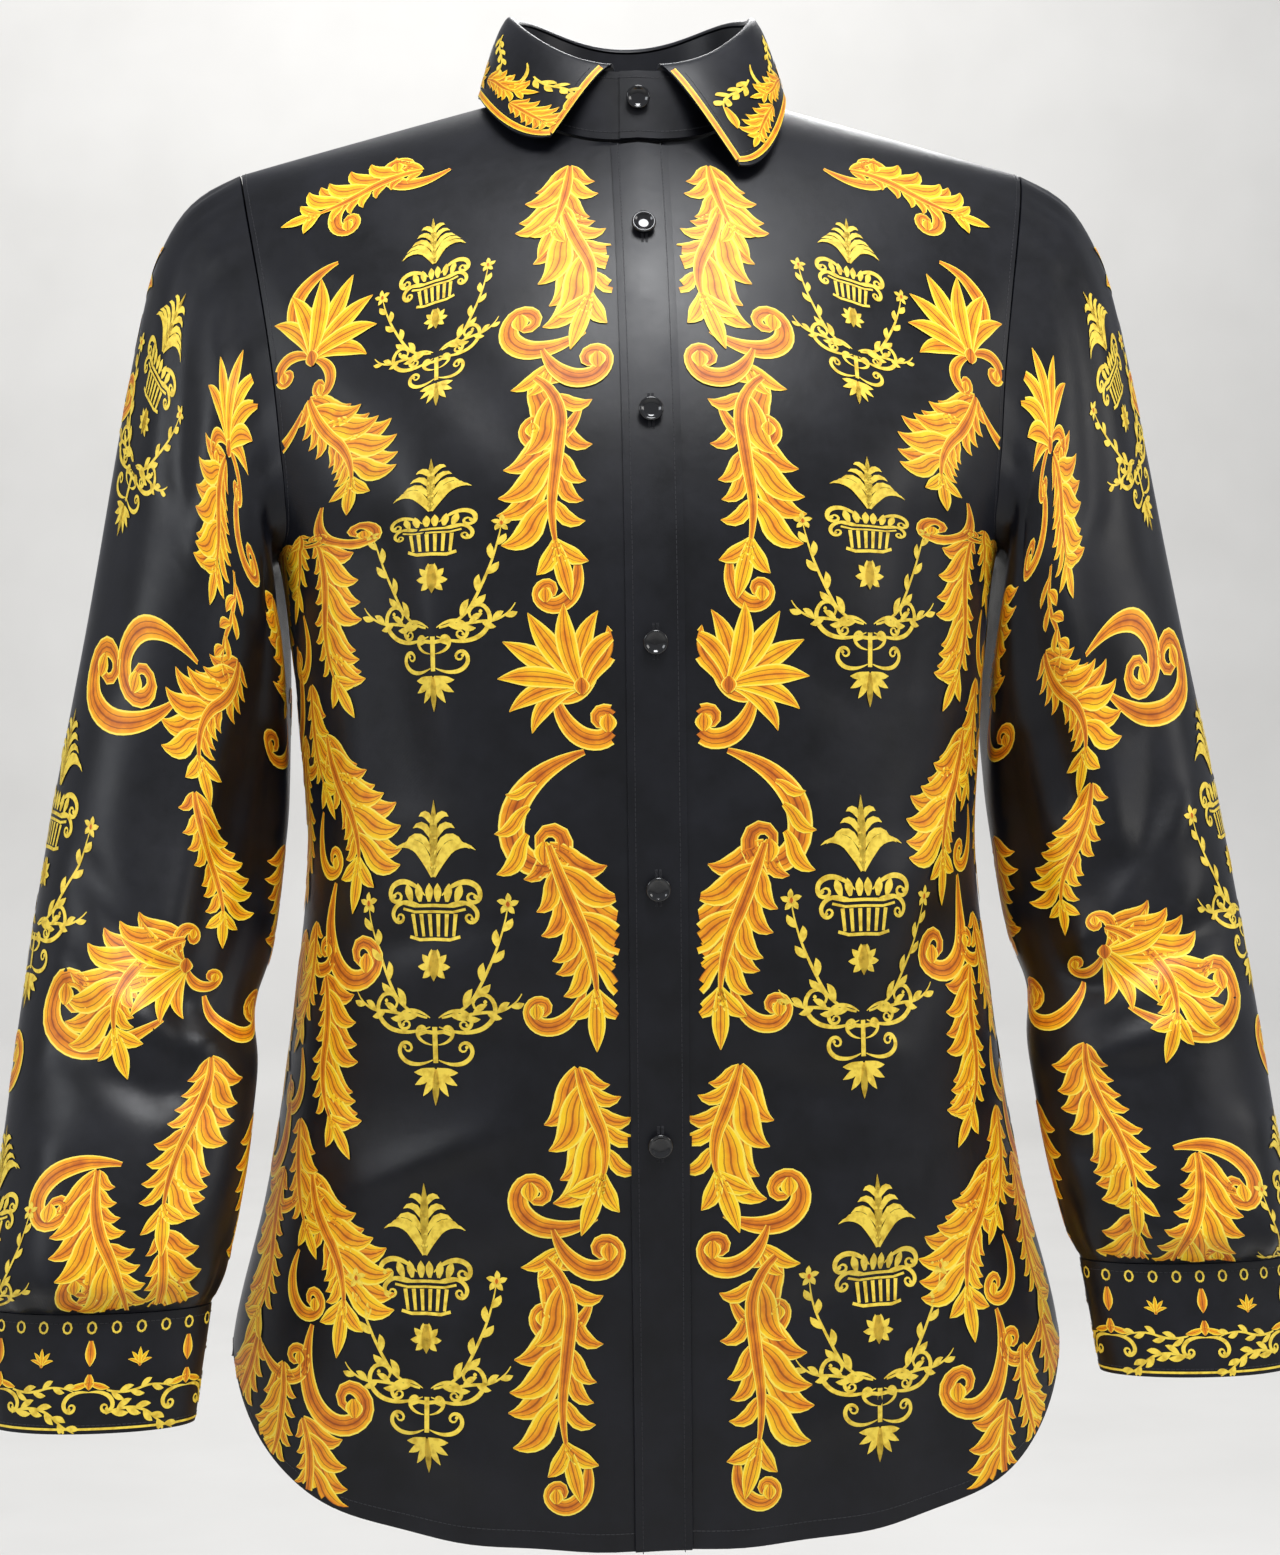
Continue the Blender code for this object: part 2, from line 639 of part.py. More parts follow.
def front_buttons(material):
    for number, z in enumerate(BUTTON_HEIGHTS, 1):
        t = row_of(-1, z)
        out = body_normal(-1, t, 0.02)
        seat = body_form(-1, t, 0) + out * (LAP + WALL / 2 + 1.5 * GAP)
        droop = Vector((0, 0, -math.tan(BUTTON_DROOP)))
        button(f"button_{number}", seat, (out + droop).normalized(), material)
    foot, out = stand_form(0, COLLAR_BUTTON_RISE / STAND_DEEP[0], STIFF_WALL + 2 * GAP)
    button("button_collar", foot + out * (STIFF_WALL / 2 + GAP), out, material)


def cuff_button(name, side, material):
    turn = CUFF_START + 2 * math.pi + CUFF_LAP - 0.20
    point, out = cuff_form(side, 0.5, turn, STIFF_WALL * 1.5 + 4 * GAP)
    button(name, placed(point, side), placed(out, side), material)


def main():
    for old in list(bpy.data.objects):
        bpy.data.objects.remove(old, do_unlink=True)
    cloth = plain_material("black_satin", (0.018, 0.019, 0.026), 0.42)
    stiff = plain_material("fused_satin", (0.020, 0.020, 0.026), 0.45)
    gloss = plain_material("black_button", (0.008, 0.008, 0.009), 0.12)
    front("front_left", 1, LEFT_EDGE, cloth)
    front("front_right", -1, RIGHT_EDGE, cloth)
    placket(cloth)
    back(cloth)
    yoke(cloth)
    collar_stand(stiff)
    collar_leaf(stiff)
    for word, side in (("left", 1), ("right", -1)):
        sleeve(f"sleeve_{word}", side, cloth)
        cuff(f"cuff_{word}", side, stiff)
        sleeve_placket(f"sleeve_placket_{word}", side, cloth)
        cuff_button(f"button_cuff_{word}", side, gloss)
    front_buttons(gloss)


main()
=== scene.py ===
"""A long-sleeved satin shirt with a gold scroll print, in its hollow worn form.

One section for each group of pieces, in the order in which a shirt is sewn: body panels,
sleeves, collar, print, buttons, stitching, and last the studio.
"""

import math

import bpy
import numpy as np
from mathutils import Matrix, Vector


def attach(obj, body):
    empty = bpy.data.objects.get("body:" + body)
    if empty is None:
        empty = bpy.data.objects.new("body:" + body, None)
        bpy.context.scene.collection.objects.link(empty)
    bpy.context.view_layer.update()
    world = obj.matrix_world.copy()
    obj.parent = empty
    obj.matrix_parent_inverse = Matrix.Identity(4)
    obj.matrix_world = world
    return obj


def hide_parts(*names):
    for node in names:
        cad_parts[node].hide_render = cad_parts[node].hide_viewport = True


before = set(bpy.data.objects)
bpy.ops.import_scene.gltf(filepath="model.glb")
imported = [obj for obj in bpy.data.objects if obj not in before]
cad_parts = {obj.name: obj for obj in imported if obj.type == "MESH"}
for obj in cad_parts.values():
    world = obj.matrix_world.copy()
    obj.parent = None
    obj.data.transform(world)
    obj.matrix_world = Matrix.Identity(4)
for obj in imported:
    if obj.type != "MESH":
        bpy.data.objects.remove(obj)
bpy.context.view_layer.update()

# ------------------------------------------------------------------ satin
# The body, sleeves and collar are one polyester satin: black with a blue-grey sheen, a fine
# weave and a faint mottle where the cloth has been pressed and worn.

TWILL_PITCH = 0.0011
TWILL_DEPTH = 0.0002
DENT_DEPTH = 0.0012


def shader_tree(name):
    """A new node material: its nodes, links and shader."""
    material = bpy.data.materials.new(name)
    material.use_nodes = True
    tree = material.node_tree
    return material, tree.nodes, tree.links, tree.nodes["Principled BSDF"]


def node(nodes, kind, **inputs):
    """A node with some of its inputs set, underscores standing for spaces."""
    made = nodes.new(kind)
    for key, value in inputs.items():
        made.inputs[key.replace("_", " ")].default_value = value
    return made


def ramp(nodes, links, source, *stops):
    """A colour ramp of (place, colour) stops, fed from a socket."""
    made = nodes.new("ShaderNodeValToRGB")
    bar = made.color_ramp
    while len(bar.elements) < len(stops):
        bar.elements.new(0.5)
    for element, (place, colour) in zip(bar.elements, stops):
        element.position, element.color = place, (*colour, 1)
    links.new(source, made.inputs["Fac"])
    return made.outputs["Color"]


def noise(nodes, links, scale, detail, roughness=0.5):
    """Noise over a piece's own coordinates."""
    made = node(nodes, "ShaderNodeTexNoise", Scale=scale, Detail=detail, Roughness=roughness)
    links.new(nodes.new("ShaderNodeTexCoord").outputs["Object"], made.inputs["Vector"])
    return made.outputs["Fac"]


def weave(nodes, links, shader):
    """A fine twill bump, with soft wear dents under it."""
    fine = node(nodes, "ShaderNodeTexWave", Scale=1 / TWILL_PITCH, Distortion=1.2)
    fine.bands_direction = "DIAGONAL"
    links.new(nodes.new("ShaderNodeTexCoord").outputs["Object"], fine.inputs["Vector"])
    first = node(nodes, "ShaderNodeBump", Strength=0.10, Distance=TWILL_DEPTH)
    second = node(nodes, "ShaderNodeBump", Strength=0.22, Distance=DENT_DEPTH)
    links.new(fine.outputs["Color"], first.inputs["Height"])
    links.new(noise(nodes, links, 38.0, 4.0, 0.55), second.inputs["Height"])
    links.new(first.outputs["Normal"], second.inputs["Normal"])
    links.new(second.outputs["Normal"], shader.inputs["Normal"])


def satin(name, dark, pale, roughness):
    """Satin of one dye, from its darkest to its palest, rougher where it is pale."""
    material, nodes, links, shader = shader_tree(name)
    mottle = noise(nodes, links, 22.0, 8.0, 0.7)
    links.new(ramp(nodes, links, mottle, (0.35, dark), (0.72, pale)), shader.inputs["Base Color"])
    links.new(ramp(nodes, links, mottle, (0.3, (roughness - 0.05,) * 3),
                   (0.75, (roughness + 0.09,) * 3)), shader.inputs["Roughness"])
    shader.inputs["Specular IOR Level"].default_value = 0.36
    shader.inputs["Sheen Weight"].default_value = 0.05
    shader.inputs["Sheen Roughness"].default_value = 0.35
    shader.inputs["Sheen Tint"].default_value = (0.55, 0.62, 0.85, 1)
    weave(nodes, links, shader)
    return material


black_satin = satin("black satin", (0.0016, 0.0018, 0.003), (0.0065, 0.007, 0.011), 0.37)
fused_satin = satin("fused black satin", (0.0018, 0.002, 0.0032), (0.007, 0.0075, 0.012), 0.39)

# ------------------------------------------------------------------ form of the body
# Four body panels share one worn form, as if drawn on one figure. A row t is 0 on the shoulder
# ridge, 1 at chest height and more below; the angle runs from the centre line to the side.

FRONT, BACK = -1, 1
SIDES = (("left", 1), ("right", -1))  # the wearer's
WALL = 0.0012
GAP = 0.0003
LAP = WALL + GAP  # how far a piece that lies on a panel stands out from it

SHOULDER_TIP = (0.219, -0.040)
SHOULDER_FALL = 0.28
RIDGE_TOP = SHOULDER_TIP[1] + SHOULDER_FALL * SHOULDER_TIP[0]
CHEST = -0.300
ROW_DROP = 0.408  # how far a whole row is below the chest
SQUARENESS = 2.4  # of a cut across the body; 2 would be an oval
DEPTH = {FRONT: 0.140, BACK: 0.110}
FALL_POWER = {FRONT: 1.27, BACK: 2.8}  # how the rows fall from the ridge to the chest
UNDERARM_Z = -0.255
UNDERARM_ROW = 0.888
ARMHOLE_REACH = 0.68
# Half the width at each height, then the share of the whole depth that is left there
HALF_WIDTH = ((-0.83, 0.240), (-0.69, 0.231), (-0.61, 0.212), (-0.55, 0.201),
              (-0.50, 0.194), (-0.42, 0.186), (-0.36, 0.189), (-0.30, 0.194),
              (-0.255, 0.2005), (-0.225, 0.2140), (-0.192, 0.2275), (-0.109, 0.2525),
              (-0.040, 0.2700), (0.025, 0.2800))
TAPER = {FRONT: ((-0.83, 0.845), (-0.569, 0.929), (-0.436, 0.986), (-0.30, 1.0)),
         BACK: ((-0.83, 0.90), (-0.60, 0.92), (-0.43, 0.90), (-0.30, 1.0))}
HEM = {FRONT: -0.783, BACK: -0.797}
TAIL_CURVE, SIDE_NOTCH = 0.045, 0.052  # how far the hem curves up, and again at the side
HEM_RIPPLE = 0.0022
HEM_LEVEL = -0.60  # the rows are level down to here and take the hem's shape below it
NECK_HALF = 0.070
NECK_ROW = {FRONT: 0.243, BACK: 0.381}

# Soft folds, in mm: where each starts and ends (x, z), its width and how high it lifts the cloth
FRONT_FOLDS = ((-150, -215, -128, -400, 20, -5.5), (-126, -225, -106, -370, 11, 2.8),
               (-170, -255, -150, -420, 9, 2.6), (-170, -560, -60, -500, 26, -4.2),
               (-175, -600, -75, -560, 10, 3), (-160, -470, -50, -440, 12, -2.6),
               (-150, -655, -50, -625, 14, -3), (-90, -745, -150, -700, 12, 2.4),
               (-205, -75, -160, -130, 8, -2.2), (-208, -105, -165, -165, 8, 2),
               (-200, -150, -150, -200, 9, -2), (-110, -150, -60, -215, 18, -1.8),
               (165, -375, 110, -470, 22, 6.4), (175, -440, 120, -520, 18, -5.2),
               (180, -345, 130, -420, 10, -3), (40, -640, 150, -600, 26, 3.4),
               (50, -668, 150, -632, 11, -3), (150, -215, 140, -340, 12, -3.2),
               (205, -80, 165, -140, 8, -2.2), (205, -120, 160, -180, 9, 2.2),
               (40, -530, 105, -550, 13, -2.2), (60, -730, 140, -690, 13, 2.4),
               (55, -300, 110, -345, 16, -1.8), (30, -400, 90, -385, 12, 1.6))
BACK_FOLDS = ((-165, -240, -125, -420, 16, -5), (168, -235, 130, -430, 17, -5.2),
              (-140, -230, -100, -380, 10, 3), (142, -240, 108, -370, 10, 2.8),
              (-120, -470, 60, -455, 18, -4), (-50, -510, 135, -500, 15, -3.6),
              (-130, -495, 20, -485, 9, 2.6), (-20, -560, 130, -590, 16, 3),
              (-150, -600, -30, -560, 20, -3.6), (-80, -700, 30, -670, 16, -2.6),
              (20, -740, 120, -690, 14, 2.6), (-20, -160, -30, -300, 16, -2.4),
              (30, -160, 36, -290, 14, 2))
FOLDS = {face: [[size / 1000 for size in fold] for fold in folds]
         for face, folds in ((FRONT, FRONT_FOLDS), (BACK, BACK_FOLDS))}


def through(pairs, at):
    """The smooth curve through (place, value) pairs, read at one place."""
    places = [p for p, _ in pairs]
    values = [v for _, v in pairs]
    at = min(max(at, places[0]), places[-1])
    k = max(i for i in range(len(places) - 1) if places[i] <= at)

    def slope(i):
        low, high = max(i - 1, 0), min(i + 1, len(places) - 1)
        return (values[high] - values[low]) / (places[high] - places[low])

    step = places[k + 1] - places[k]
    f = (at - places[k]) / step
    return ((2 * f**3 - 3 * f**2 + 1) * values[k] + (f**3 - 2 * f**2 + f) * step * slope(k)
            + (3 * f**2 - 2 * f**3) * values[k + 1] + (f**3 - f**2) * step * slope(k + 1))


def ease(f):
    """0 below 0, 1 above 1 and smooth between."""
    f = min(max(f, 0.0), 1.0)
    return f * f * (3 - 2 * f)


def row_of(face, z):
    """The row that passes the centre line at height z."""
    if z < CHEST:
        return 1 + (CHEST - z) / ROW_DROP
    return ((RIDGE_TOP - z) / (RIDGE_TOP - CHEST)) ** (1 / FALL_POWER[face])


def centre_height(face, t):
    """The height at which a row passes the centre line."""
    if t > 1:
        return CHEST - ROW_DROP * (t - 1)
    return RIDGE_TOP - (RIDGE_TOP - CHEST) * t ** FALL_POWER[face]


def section_end(face, t):
    """Height and angle where row t meets the armhole or the side seam."""
    if t < UNDERARM_ROW:
        f = t / UNDERARM_ROW
        middle = (SHOULDER_TIP[1] + UNDERARM_Z) / 2
        z = middle + (SHOULDER_TIP[1] - middle) * math.cos(math.pi * f)
        reach = ARMHOLE_REACH * (1 - f**4) ** 0.6
        return z, math.acos(reach ** (SQUARENESS / 2))
    if t < 1:
        share = (t - UNDERARM_ROW) / (1 - UNDERARM_ROW)
        return UNDERARM_Z + (CHEST - UNDERARM_Z) * share, math.pi / 2
    return centre_height(face, t), math.pi / 2


def hem_rise(u):
    """How far the shirt-tail hem rises from the centre line out to the side seam."""
    return TAIL_CURVE * u**2.6 + SIDE_NOTCH * u**12


def fold_lift(folds, x, z):
    """How far the folds lift the cloth at a place: each runs from one end to the other."""
    lift = 0.0
    for x0, z0, x1, z1, width, height in folds:
        dx, dz = x1 - x0, z1 - z0
        share = min(max(((x - x0) * dx + (z - z0) * dz) / (dx * dx + dz * dz), 0), 1)
        off = math.hypot(x - x0 - dx * share, z - z0 - dz * share)
        if off < 3 * width:
            lift += height * math.exp(-(off / width) ** 2) * (1 - (2 * share - 1) ** 4 * 0.7)
    return lift


def row_height(face, t, u, cut=True):
    """Height of row t at a share u of the way out to its end."""
    z = centre_height(face, t)
    z += (section_end(face, t)[0] - z) * u ** (1 + (0.8 * min(t, 1) if face < 0 else ease(t / 0.35)))
    if t > 1 and cut:
        down = (t - row_of(face, HEM_LEVEL)) / (row_of(face, HEM[face]) - row_of(face, HEM_LEVEL))
        z += hem_rise(u) * max(down, 0) ** 2
    return z


def body_form(face, t, angle, side=1, cut=True):
    """A point of the worn body: face -1 is the front and 1 the back, side 1 is the wearer's left."""
    end = section_end(face, t)[1]
    angle = min(angle, end)
    out = math.sin(angle) ** (2 / SQUARENESS)
    u = out / math.sin(end) ** (2 / SQUARENESS)
    z = row_height(face, t, u, cut)
    half = through(HALF_WIDTH, z)
    level = t + (row_of(face, z) - t) * ease((t - 0.45) / 0.40)
    deep = DEPTH[face] * math.sin(math.pi / 2 * min(level, 1)) * through(TAPER[face], z)
    x, y = out * half, deep * math.cos(angle) ** (2 / SQUARENESS)
    lift = fold_lift(FOLDS[face], side * x, z) * (1 - u**6) * ease(t / 0.2)
    ripple = HEM_RIPPLE * math.sin(21 * side * x / half + 2 * face) * ease((-0.55 - z) / 0.2)
    lift += ripple * (1 - u**4)
    way = Vector((x / half**2, y / max(deep, 0.03) ** 2)).normalized()
    x, y = x + way.x * lift, y + way.y * lift
    return Vector((side * x, face * y, z))


def angle_at(face, t, x):
    """The angle across row t at a distance x from the centre line."""
    end = section_end(face, t)[1]
    whole = math.sin(end) ** (2 / SQUARENESS)
    out = x / 0.25
    for _ in range(8):
        out = x / through(HALF_WIDTH, row_height(face, t, min(out / whole, 1)))
    return math.asin(min(out, whole) ** (SQUARENESS / 2))


def neck_edge(face, t):
    """How far from the centre line the neck opening cuts row t."""
    f = min(t / NECK_ROW[face], 1.0)
    return NECK_HALF * math.sqrt(1 - f * f)


def outward(points, centre, tube=False):
    """The way out of the cloth at every point of a grid, away from a centre for each row."""
    wide = np.concatenate([points[:, -2:-1] if tube else points[:, :1], points,
                           points[:, 1:2] if tube else points[:, -1:]], axis=1)
    across = wide[:, 2:] - wide[:, :-2]
    out = np.cross(across, np.gradient(points, axis=0))
    out /= np.maximum(np.linalg.norm(out, axis=2, keepdims=True), 1e-12)
    if np.sum(out * (points - centre)) < 0:
        out = -out
    return out


def wall(name, points, out, thick, material, gone=None, tube=False):
    """A closed cloth wall on a grid of points, half its thickness to each side of them."""
    rows, cols = points.shape[:2]
    inner = rows * cols
    verts = np.concatenate([(points + out * thick / 2).reshape(-1, 3),
                            (points - out * thick / 2).reshape(-1, 3)])
    faces, rim = [], {}
    for r in range(rows - 1):
        for c in range(cols - 1):
            if gone is not None and gone(r, c):
                continue
            a, b = r * cols + c, r * cols + (0 if tube and c == cols - 2 else c + 1)
            ring = (a, b, b + cols, a + cols)
            faces += [ring, tuple(inner + i for i in reversed(ring))]
            for start, end in zip(ring, ring[1:] + ring[:1]):
                if rim.pop((end, start), None) is None:
                    rim[(start, end)] = True
    faces += [(end, start, inner + start, inner + end) for start, end in rim]
    used = np.unique([i for f in faces for i in f])
    place = np.zeros(len(verts), int)
    place[used] = range(len(used))
    return surface(name, verts[used], [tuple(place[list(f)]) for f in faces], material)


def surface(name, verts, faces, *materials):
    """A smooth mesh piece whose faces are turned out."""
    mesh = bpy.data.meshes.new(name)
    mesh.from_pydata([tuple(v) for v in verts], [], [tuple(int(i) for i in f) for f in faces])
    for material in materials:
        mesh.materials.append(material)
    piece = bpy.data.objects.new(name, mesh)
    bpy.context.scene.collection.objects.link(piece)
    corners = np.array([verts[list(f[:3])] for f in faces])
    if np.sum(corners[:, 0] * np.cross(corners[:, 1], corners[:, 2])) < 0:
        mesh.flip_normals()
    mesh.shade_smooth()
    mesh.set_sharp_from_angle(angle=math.radians(50))
    return piece


def belongs(piece, slot, *nodes):
    """The piece moves with the shirt and stands for its plain forms."""
    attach(piece, "root")
    if nodes:
        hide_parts(*nodes)
    return piece


# ------------------------------------------------------------------ front panels
# Two cut fronts, left and right. The right one runs on under the placket and carries the
# buttons. Their folds fall from the armholes and lie softly across the waist.

LEFT_EDGE = 0.0135
RIGHT_EDGE = -0.0125  # past the centre line, under the placket


def front_grid(side):
    """The rows of a front, out from its edge to the armhole and the side seam."""
    corner = NECK_ROW[FRONT] * math.sqrt(1 - (LEFT_EDGE / NECK_HALF) ** 2)
    neck = list(np.linspace(0.0008, corner, 24)) + [NECK_ROW[FRONT] + 0.004]
    below = list(np.linspace(NECK_ROW[FRONT] + 0.020, UNDERARM_ROW, 44))
    below += list(np.linspace(UNDERARM_ROW, row_of(FRONT, HEM[FRONT]), 112))[1:]
    edge = LEFT_EDGE if side > 0 else RIGHT_EDGE
    grid = []
    for t in neck + below:
        end = section_end(FRONT, t)[1]
        shares = np.linspace(0, 1, 50)
        if t <= corner:
            first = angle_at(FRONT, t, max(neck_edge(FRONT, t), LEFT_EDGE))
            grid.append([body_form(FRONT, t, first + (end - first) * f, side) for f in shares])
            continue
        first = angle_at(FRONT, t, abs(edge)) * (1 if side > 0 else -1)
        row = []
        for f in shares:
            angle = first + (end - first) * f
            row.append(body_form(FRONT, t, abs(angle), side if angle >= 0 else -side))
        grid.append(row)
    points = np.array([[tuple(p) for p in row] for row in grid])
    points[:, :, 1] = np.minimum(points[:, :, 1], -GAP / 2)
    return points


def body_centre(points):
    """The middle line of the body at each point's own height."""
    centre = points.copy()
    centre[:, :, :2] = 0
    return centre


fronts = {}
for word, side in SIDES:
    points = front_grid(side)
    out = outward(points, body_centre(points))
    fronts[side] = points, out
    belongs(wall(f"front_panel_{word}", points, out, WALL, black_satin), "cloth", f"front_{word}")

# ------------------------------------------------------------------ placket
# The folded front band, sewn on the edge of the left front and lapped over the right one.

PLACKET = (-0.0150, 0.0155)


def on_front(t, x):
    """A point of the front form at a signed distance from the centre line."""
    return body_form(FRONT, t, angle_at(FRONT, t, abs(x)), 1 if x >= 0 else -1)


BAND_COLUMNS = 9
PUFF = 0.0004  # how much fuller the band is between its two stitch lines
band_rows = list(np.linspace(NECK_ROW[FRONT] + 0.008, UNDERARM_ROW, 46))
band_rows += list(np.linspace(UNDERARM_ROW, row_of(FRONT, HEM[FRONT]), 112))[1:]
band_points = np.array([[tuple(on_front(t, x)) for x in np.linspace(*PLACKET, BAND_COLUMNS)]
                        for t in band_rows])
band_out = outward(band_points, body_centre(band_points))
puffed = np.sin(np.linspace(0, math.pi, BAND_COLUMNS)) ** 0.5 * PUFF
band_points = band_points + band_out * (LAP + GAP + puffed[None, :, None])
belongs(wall("front_band", band_points, band_out, WALL, black_satin), "cloth", "placket")

# ------------------------------------------------------------------ back and yoke
# The back is one panel below the yoke. The yoke is the shoulder piece, cut in one with two
# arms beside the neck, and its lower edge is topstitched to the back.


YOKE_ROW = 0.706
YOKE_SHARE = 0.36  # how much of the armhole the yoke takes
YOKE_TILT = 1 - UNDERARM_ROW * YOKE_SHARE / YOKE_ROW
SEAM_STEP = 0.0007  # half the gap at the yoke seam, in rows
HALF_COLUMNS = 46


def back_grid(taus, tilts, firsts):
    """Rows across the whole back; a tilt lets a row drop less towards the armholes."""
    grid = []
    for tau, tilt, first in zip(taus, tilts, firsts):
        halves = []
        for side in (-1, 1):
            half = []
            for share in np.linspace(0, 1, HALF_COLUMNS):
                t = tau * (1 - tilt * share**1.5)
                angle = first + (section_end(BACK, t)[1] - first) * share
                point = body_form(BACK, t, angle, side)
                half.append((point.x, max(point.y, GAP / 2), point.z))
            halves.append(half)
        grid.append(halves[0][::-1] + halves[1])
    return np.array(grid)


arms = list(np.linspace(0.0008, NECK_ROW[BACK] - 0.0001, 20))
lower = list(np.linspace(NECK_ROW[BACK] + 0.004, YOKE_ROW - SEAM_STEP, 22))
beside_neck = [angle_at(BACK, t, neck_edge(BACK, t)) for t in arms]
MIDDLE = 0.004  # the innermost angle of each half where the cloth crosses the centre line
yoke_points = back_grid(arms + lower, [YOKE_TILT] * len(arms + lower),
                        beside_neck + [MIDDLE] * len(lower))
yoke_out = outward(yoke_points, body_centre(yoke_points))
belongs(wall("shoulder_yoke", yoke_points, yoke_out, WALL, black_satin,
             gone=lambda r, c: c == HALF_COLUMNS - 1 and r < len(arms)), "cloth", "yoke")

taus, tilts = [], []
for down in np.linspace(0, 1, 34):
    tau = YOKE_ROW + (UNDERARM_ROW - YOKE_ROW) * down
    share = YOKE_SHARE + (1 - YOKE_SHARE) * down
    taus.append(tau + (SEAM_STEP if down == 0 else 0))
    tilts.append(1 - UNDERARM_ROW * share / tau)
levels = list(np.linspace(UNDERARM_ROW, row_of(BACK, HEM[BACK]), 112))[1:]
back_points = back_grid(taus + levels, tilts + [0.0] * len(levels), [MIDDLE] * len(taus + levels))
back_out = outward(back_points, body_centre(back_points))
belongs(wall("back_panel", back_points, back_out, WALL, black_satin), "cloth", "back")

# ------------------------------------------------------------------ sleeves
# A sleeve is one panel joined along the underarm. Its cap is eased into the armhole with small
# puckers, it hangs in long folds, breaks at the elbow, and is gathered over the cuff.

# Sleeve, as the run of its outer and inner line in (x, z)
OUTER_LINE = ((0.219, -0.040), (0.245, -0.058), (0.263, -0.085), (0.274, -0.116),
              (0.284, -0.162), (0.305, -0.280), (0.326, -0.400), (0.339, -0.500),
              (0.347, -0.580), (0.353, -0.632), (0.350, -0.650))
INNER_LINE = ((0.2005, -0.255), (0.2065, -0.262), (0.2035, -0.285), (0.1985, -0.330),
              (0.1975, -0.390), (0.2010, -0.430), (0.2080, -0.490), (0.2130, -0.540),
              (0.2190, -0.590), (0.2280, -0.632), (0.2360, -0.650))
CAP_LEAD = 1.45
SLEEVE_DEPTH = ((0.0, 0.066), (0.15, 0.066), (0.35, 0.058), (0.60, 0.052), (0.80, 0.047),
                (0.93, 0.044), (0.975, 0.036), (1.0, 0.028))
SLEEVE_ROUND = 0.0045
FOREARM_FORWARD = {-1: 0.095, 1: 0.060}  # right sleeve, left sleeve
FOREARM_DROP = {-1: 0.002, 1: -0.005}
SLEEVE_GIRTH = 0.055  # how far a radian round the sleeve is
SLEEVE_LONG = 0.60
ELBOW, ELBOW_CROOK = 0.62, 0.006  # its share of the length, and how far its inside bends in

# Each fold: where it starts and ends (share of the length, turn), its width and height
SLEEVE_FOLDS = {
    -1: ((0.10, 2.5, 0.42, 2.2, 0.012, -0.0050), (0.20, 2.0, 0.55, 1.8, 0.011, 0.0042),
         (0.28, 2.7, 0.62, 2.35, 0.010, -0.0044), (0.45, 2.1, 0.70, 2.0, 0.012, -0.0040),
         (0.50, 1.0, 0.60, 2.0, 0.011, -0.0034), (0.58, 0.9, 0.66, 2.2, 0.009, 0.0034),
         (0.66, 1.1, 0.74, 2.3, 0.012, -0.0036), (0.78, 2.2, 0.92, 1.9, 0.012, -0.0034),
         (0.76, 1.0, 0.93, 1.15, 0.014, 0.0030), (0.04, 0.9, 0.16, 1.2, 0.011, -0.0030),
         (0.05, 1.5, 0.20, 1.5, 0.010, 0.0024), (0.12, 0.5, 0.34, 0.7, 0.016, -0.0022),
         (0.48, 3.9, 0.60, 5.2, 0.014, -0.0036), (0.56, 3.8, 0.68, 5.0, 0.012, 0.0030),
         (0.30, 4.2, 0.44, 4.8, 0.014, -0.0026), (0.74, 4.2, 0.90, 4.6, 0.015, -0.0028)),
    1: ((0.08, 2.3, 0.40, 2.0, 0.012, -0.0050), (0.16, 1.9, 0.46, 1.7, 0.010, 0.0036),
        (0.30, 2.6, 0.60, 2.4, 0.011, -0.0038), (0.38, 1.2, 0.56, 1.5, 0.014, -0.0044),
        (0.46, 1.0, 0.56, 2.1, 0.011, 0.0036), (0.56, 0.8, 0.62, 2.2, 0.011, -0.0046),
        (0.64, 0.9, 0.70, 2.1, 0.010, 0.0032), (0.72, 1.8, 0.90, 1.7, 0.012, -0.0034),
        (0.78, 0.8, 0.94, 0.9, 0.013, 0.0026), (0.04, 1.0, 0.18, 1.3, 0.011, -0.0028),
        (0.06, 0.4, 0.26, 0.6, 0.015, -0.0022), (0.84, 2.4, 0.95, 2.2, 0.010, -0.0028),
        (0.46, 4.0, 0.60, 5.3, 0.014, -0.0036), (0.55, 3.9, 0.66, 5.1, 0.012, 0.0030),
        (0.26, 4.1, 0.42, 4.7, 0.014, -0.0026), (0.72, 4.3, 0.90, 4.7, 0.015, -0.0028)),
}


def along(line, share):
    """The point of a line of (x, z) points at a share of its length."""
    run = [0.0]
    for (x0, z0), (x1, z1) in zip(line, line[1:]):
        run.append(run[-1] + math.hypot(x1 - x0, z1 - z0))
    at = share * run[-1]
    return (through(list(zip(run, [p[0] for p in line])), at),
            through(list(zip(run, [p[1] for p in line])), at))


armhole_places = {}


def armhole(turn):
    """Point and way out of the seam at an angle round the left armhole."""
    key = round(turn % (2 * math.pi), 6)
    if key not in armhole_places:
        armhole_places[key] = armhole_seam(turn)
    return armhole_places[key]


def armhole_seam(turn):
    """The same, worked out from the end of the body's rows."""
    def point(a):
        a %= 2 * math.pi
        face = -1 if a <= math.pi else 1
        t = UNDERARM_ROW * (a if a <= math.pi else 2 * math.pi - a) / math.pi
        return face, t, body_form(face, t, section_end(face, t)[1])

    face, t, here = point(turn)
    inside = body_form(face, t, section_end(face, t)[1] * 0.96)
    return here, (here - inside).normalized()


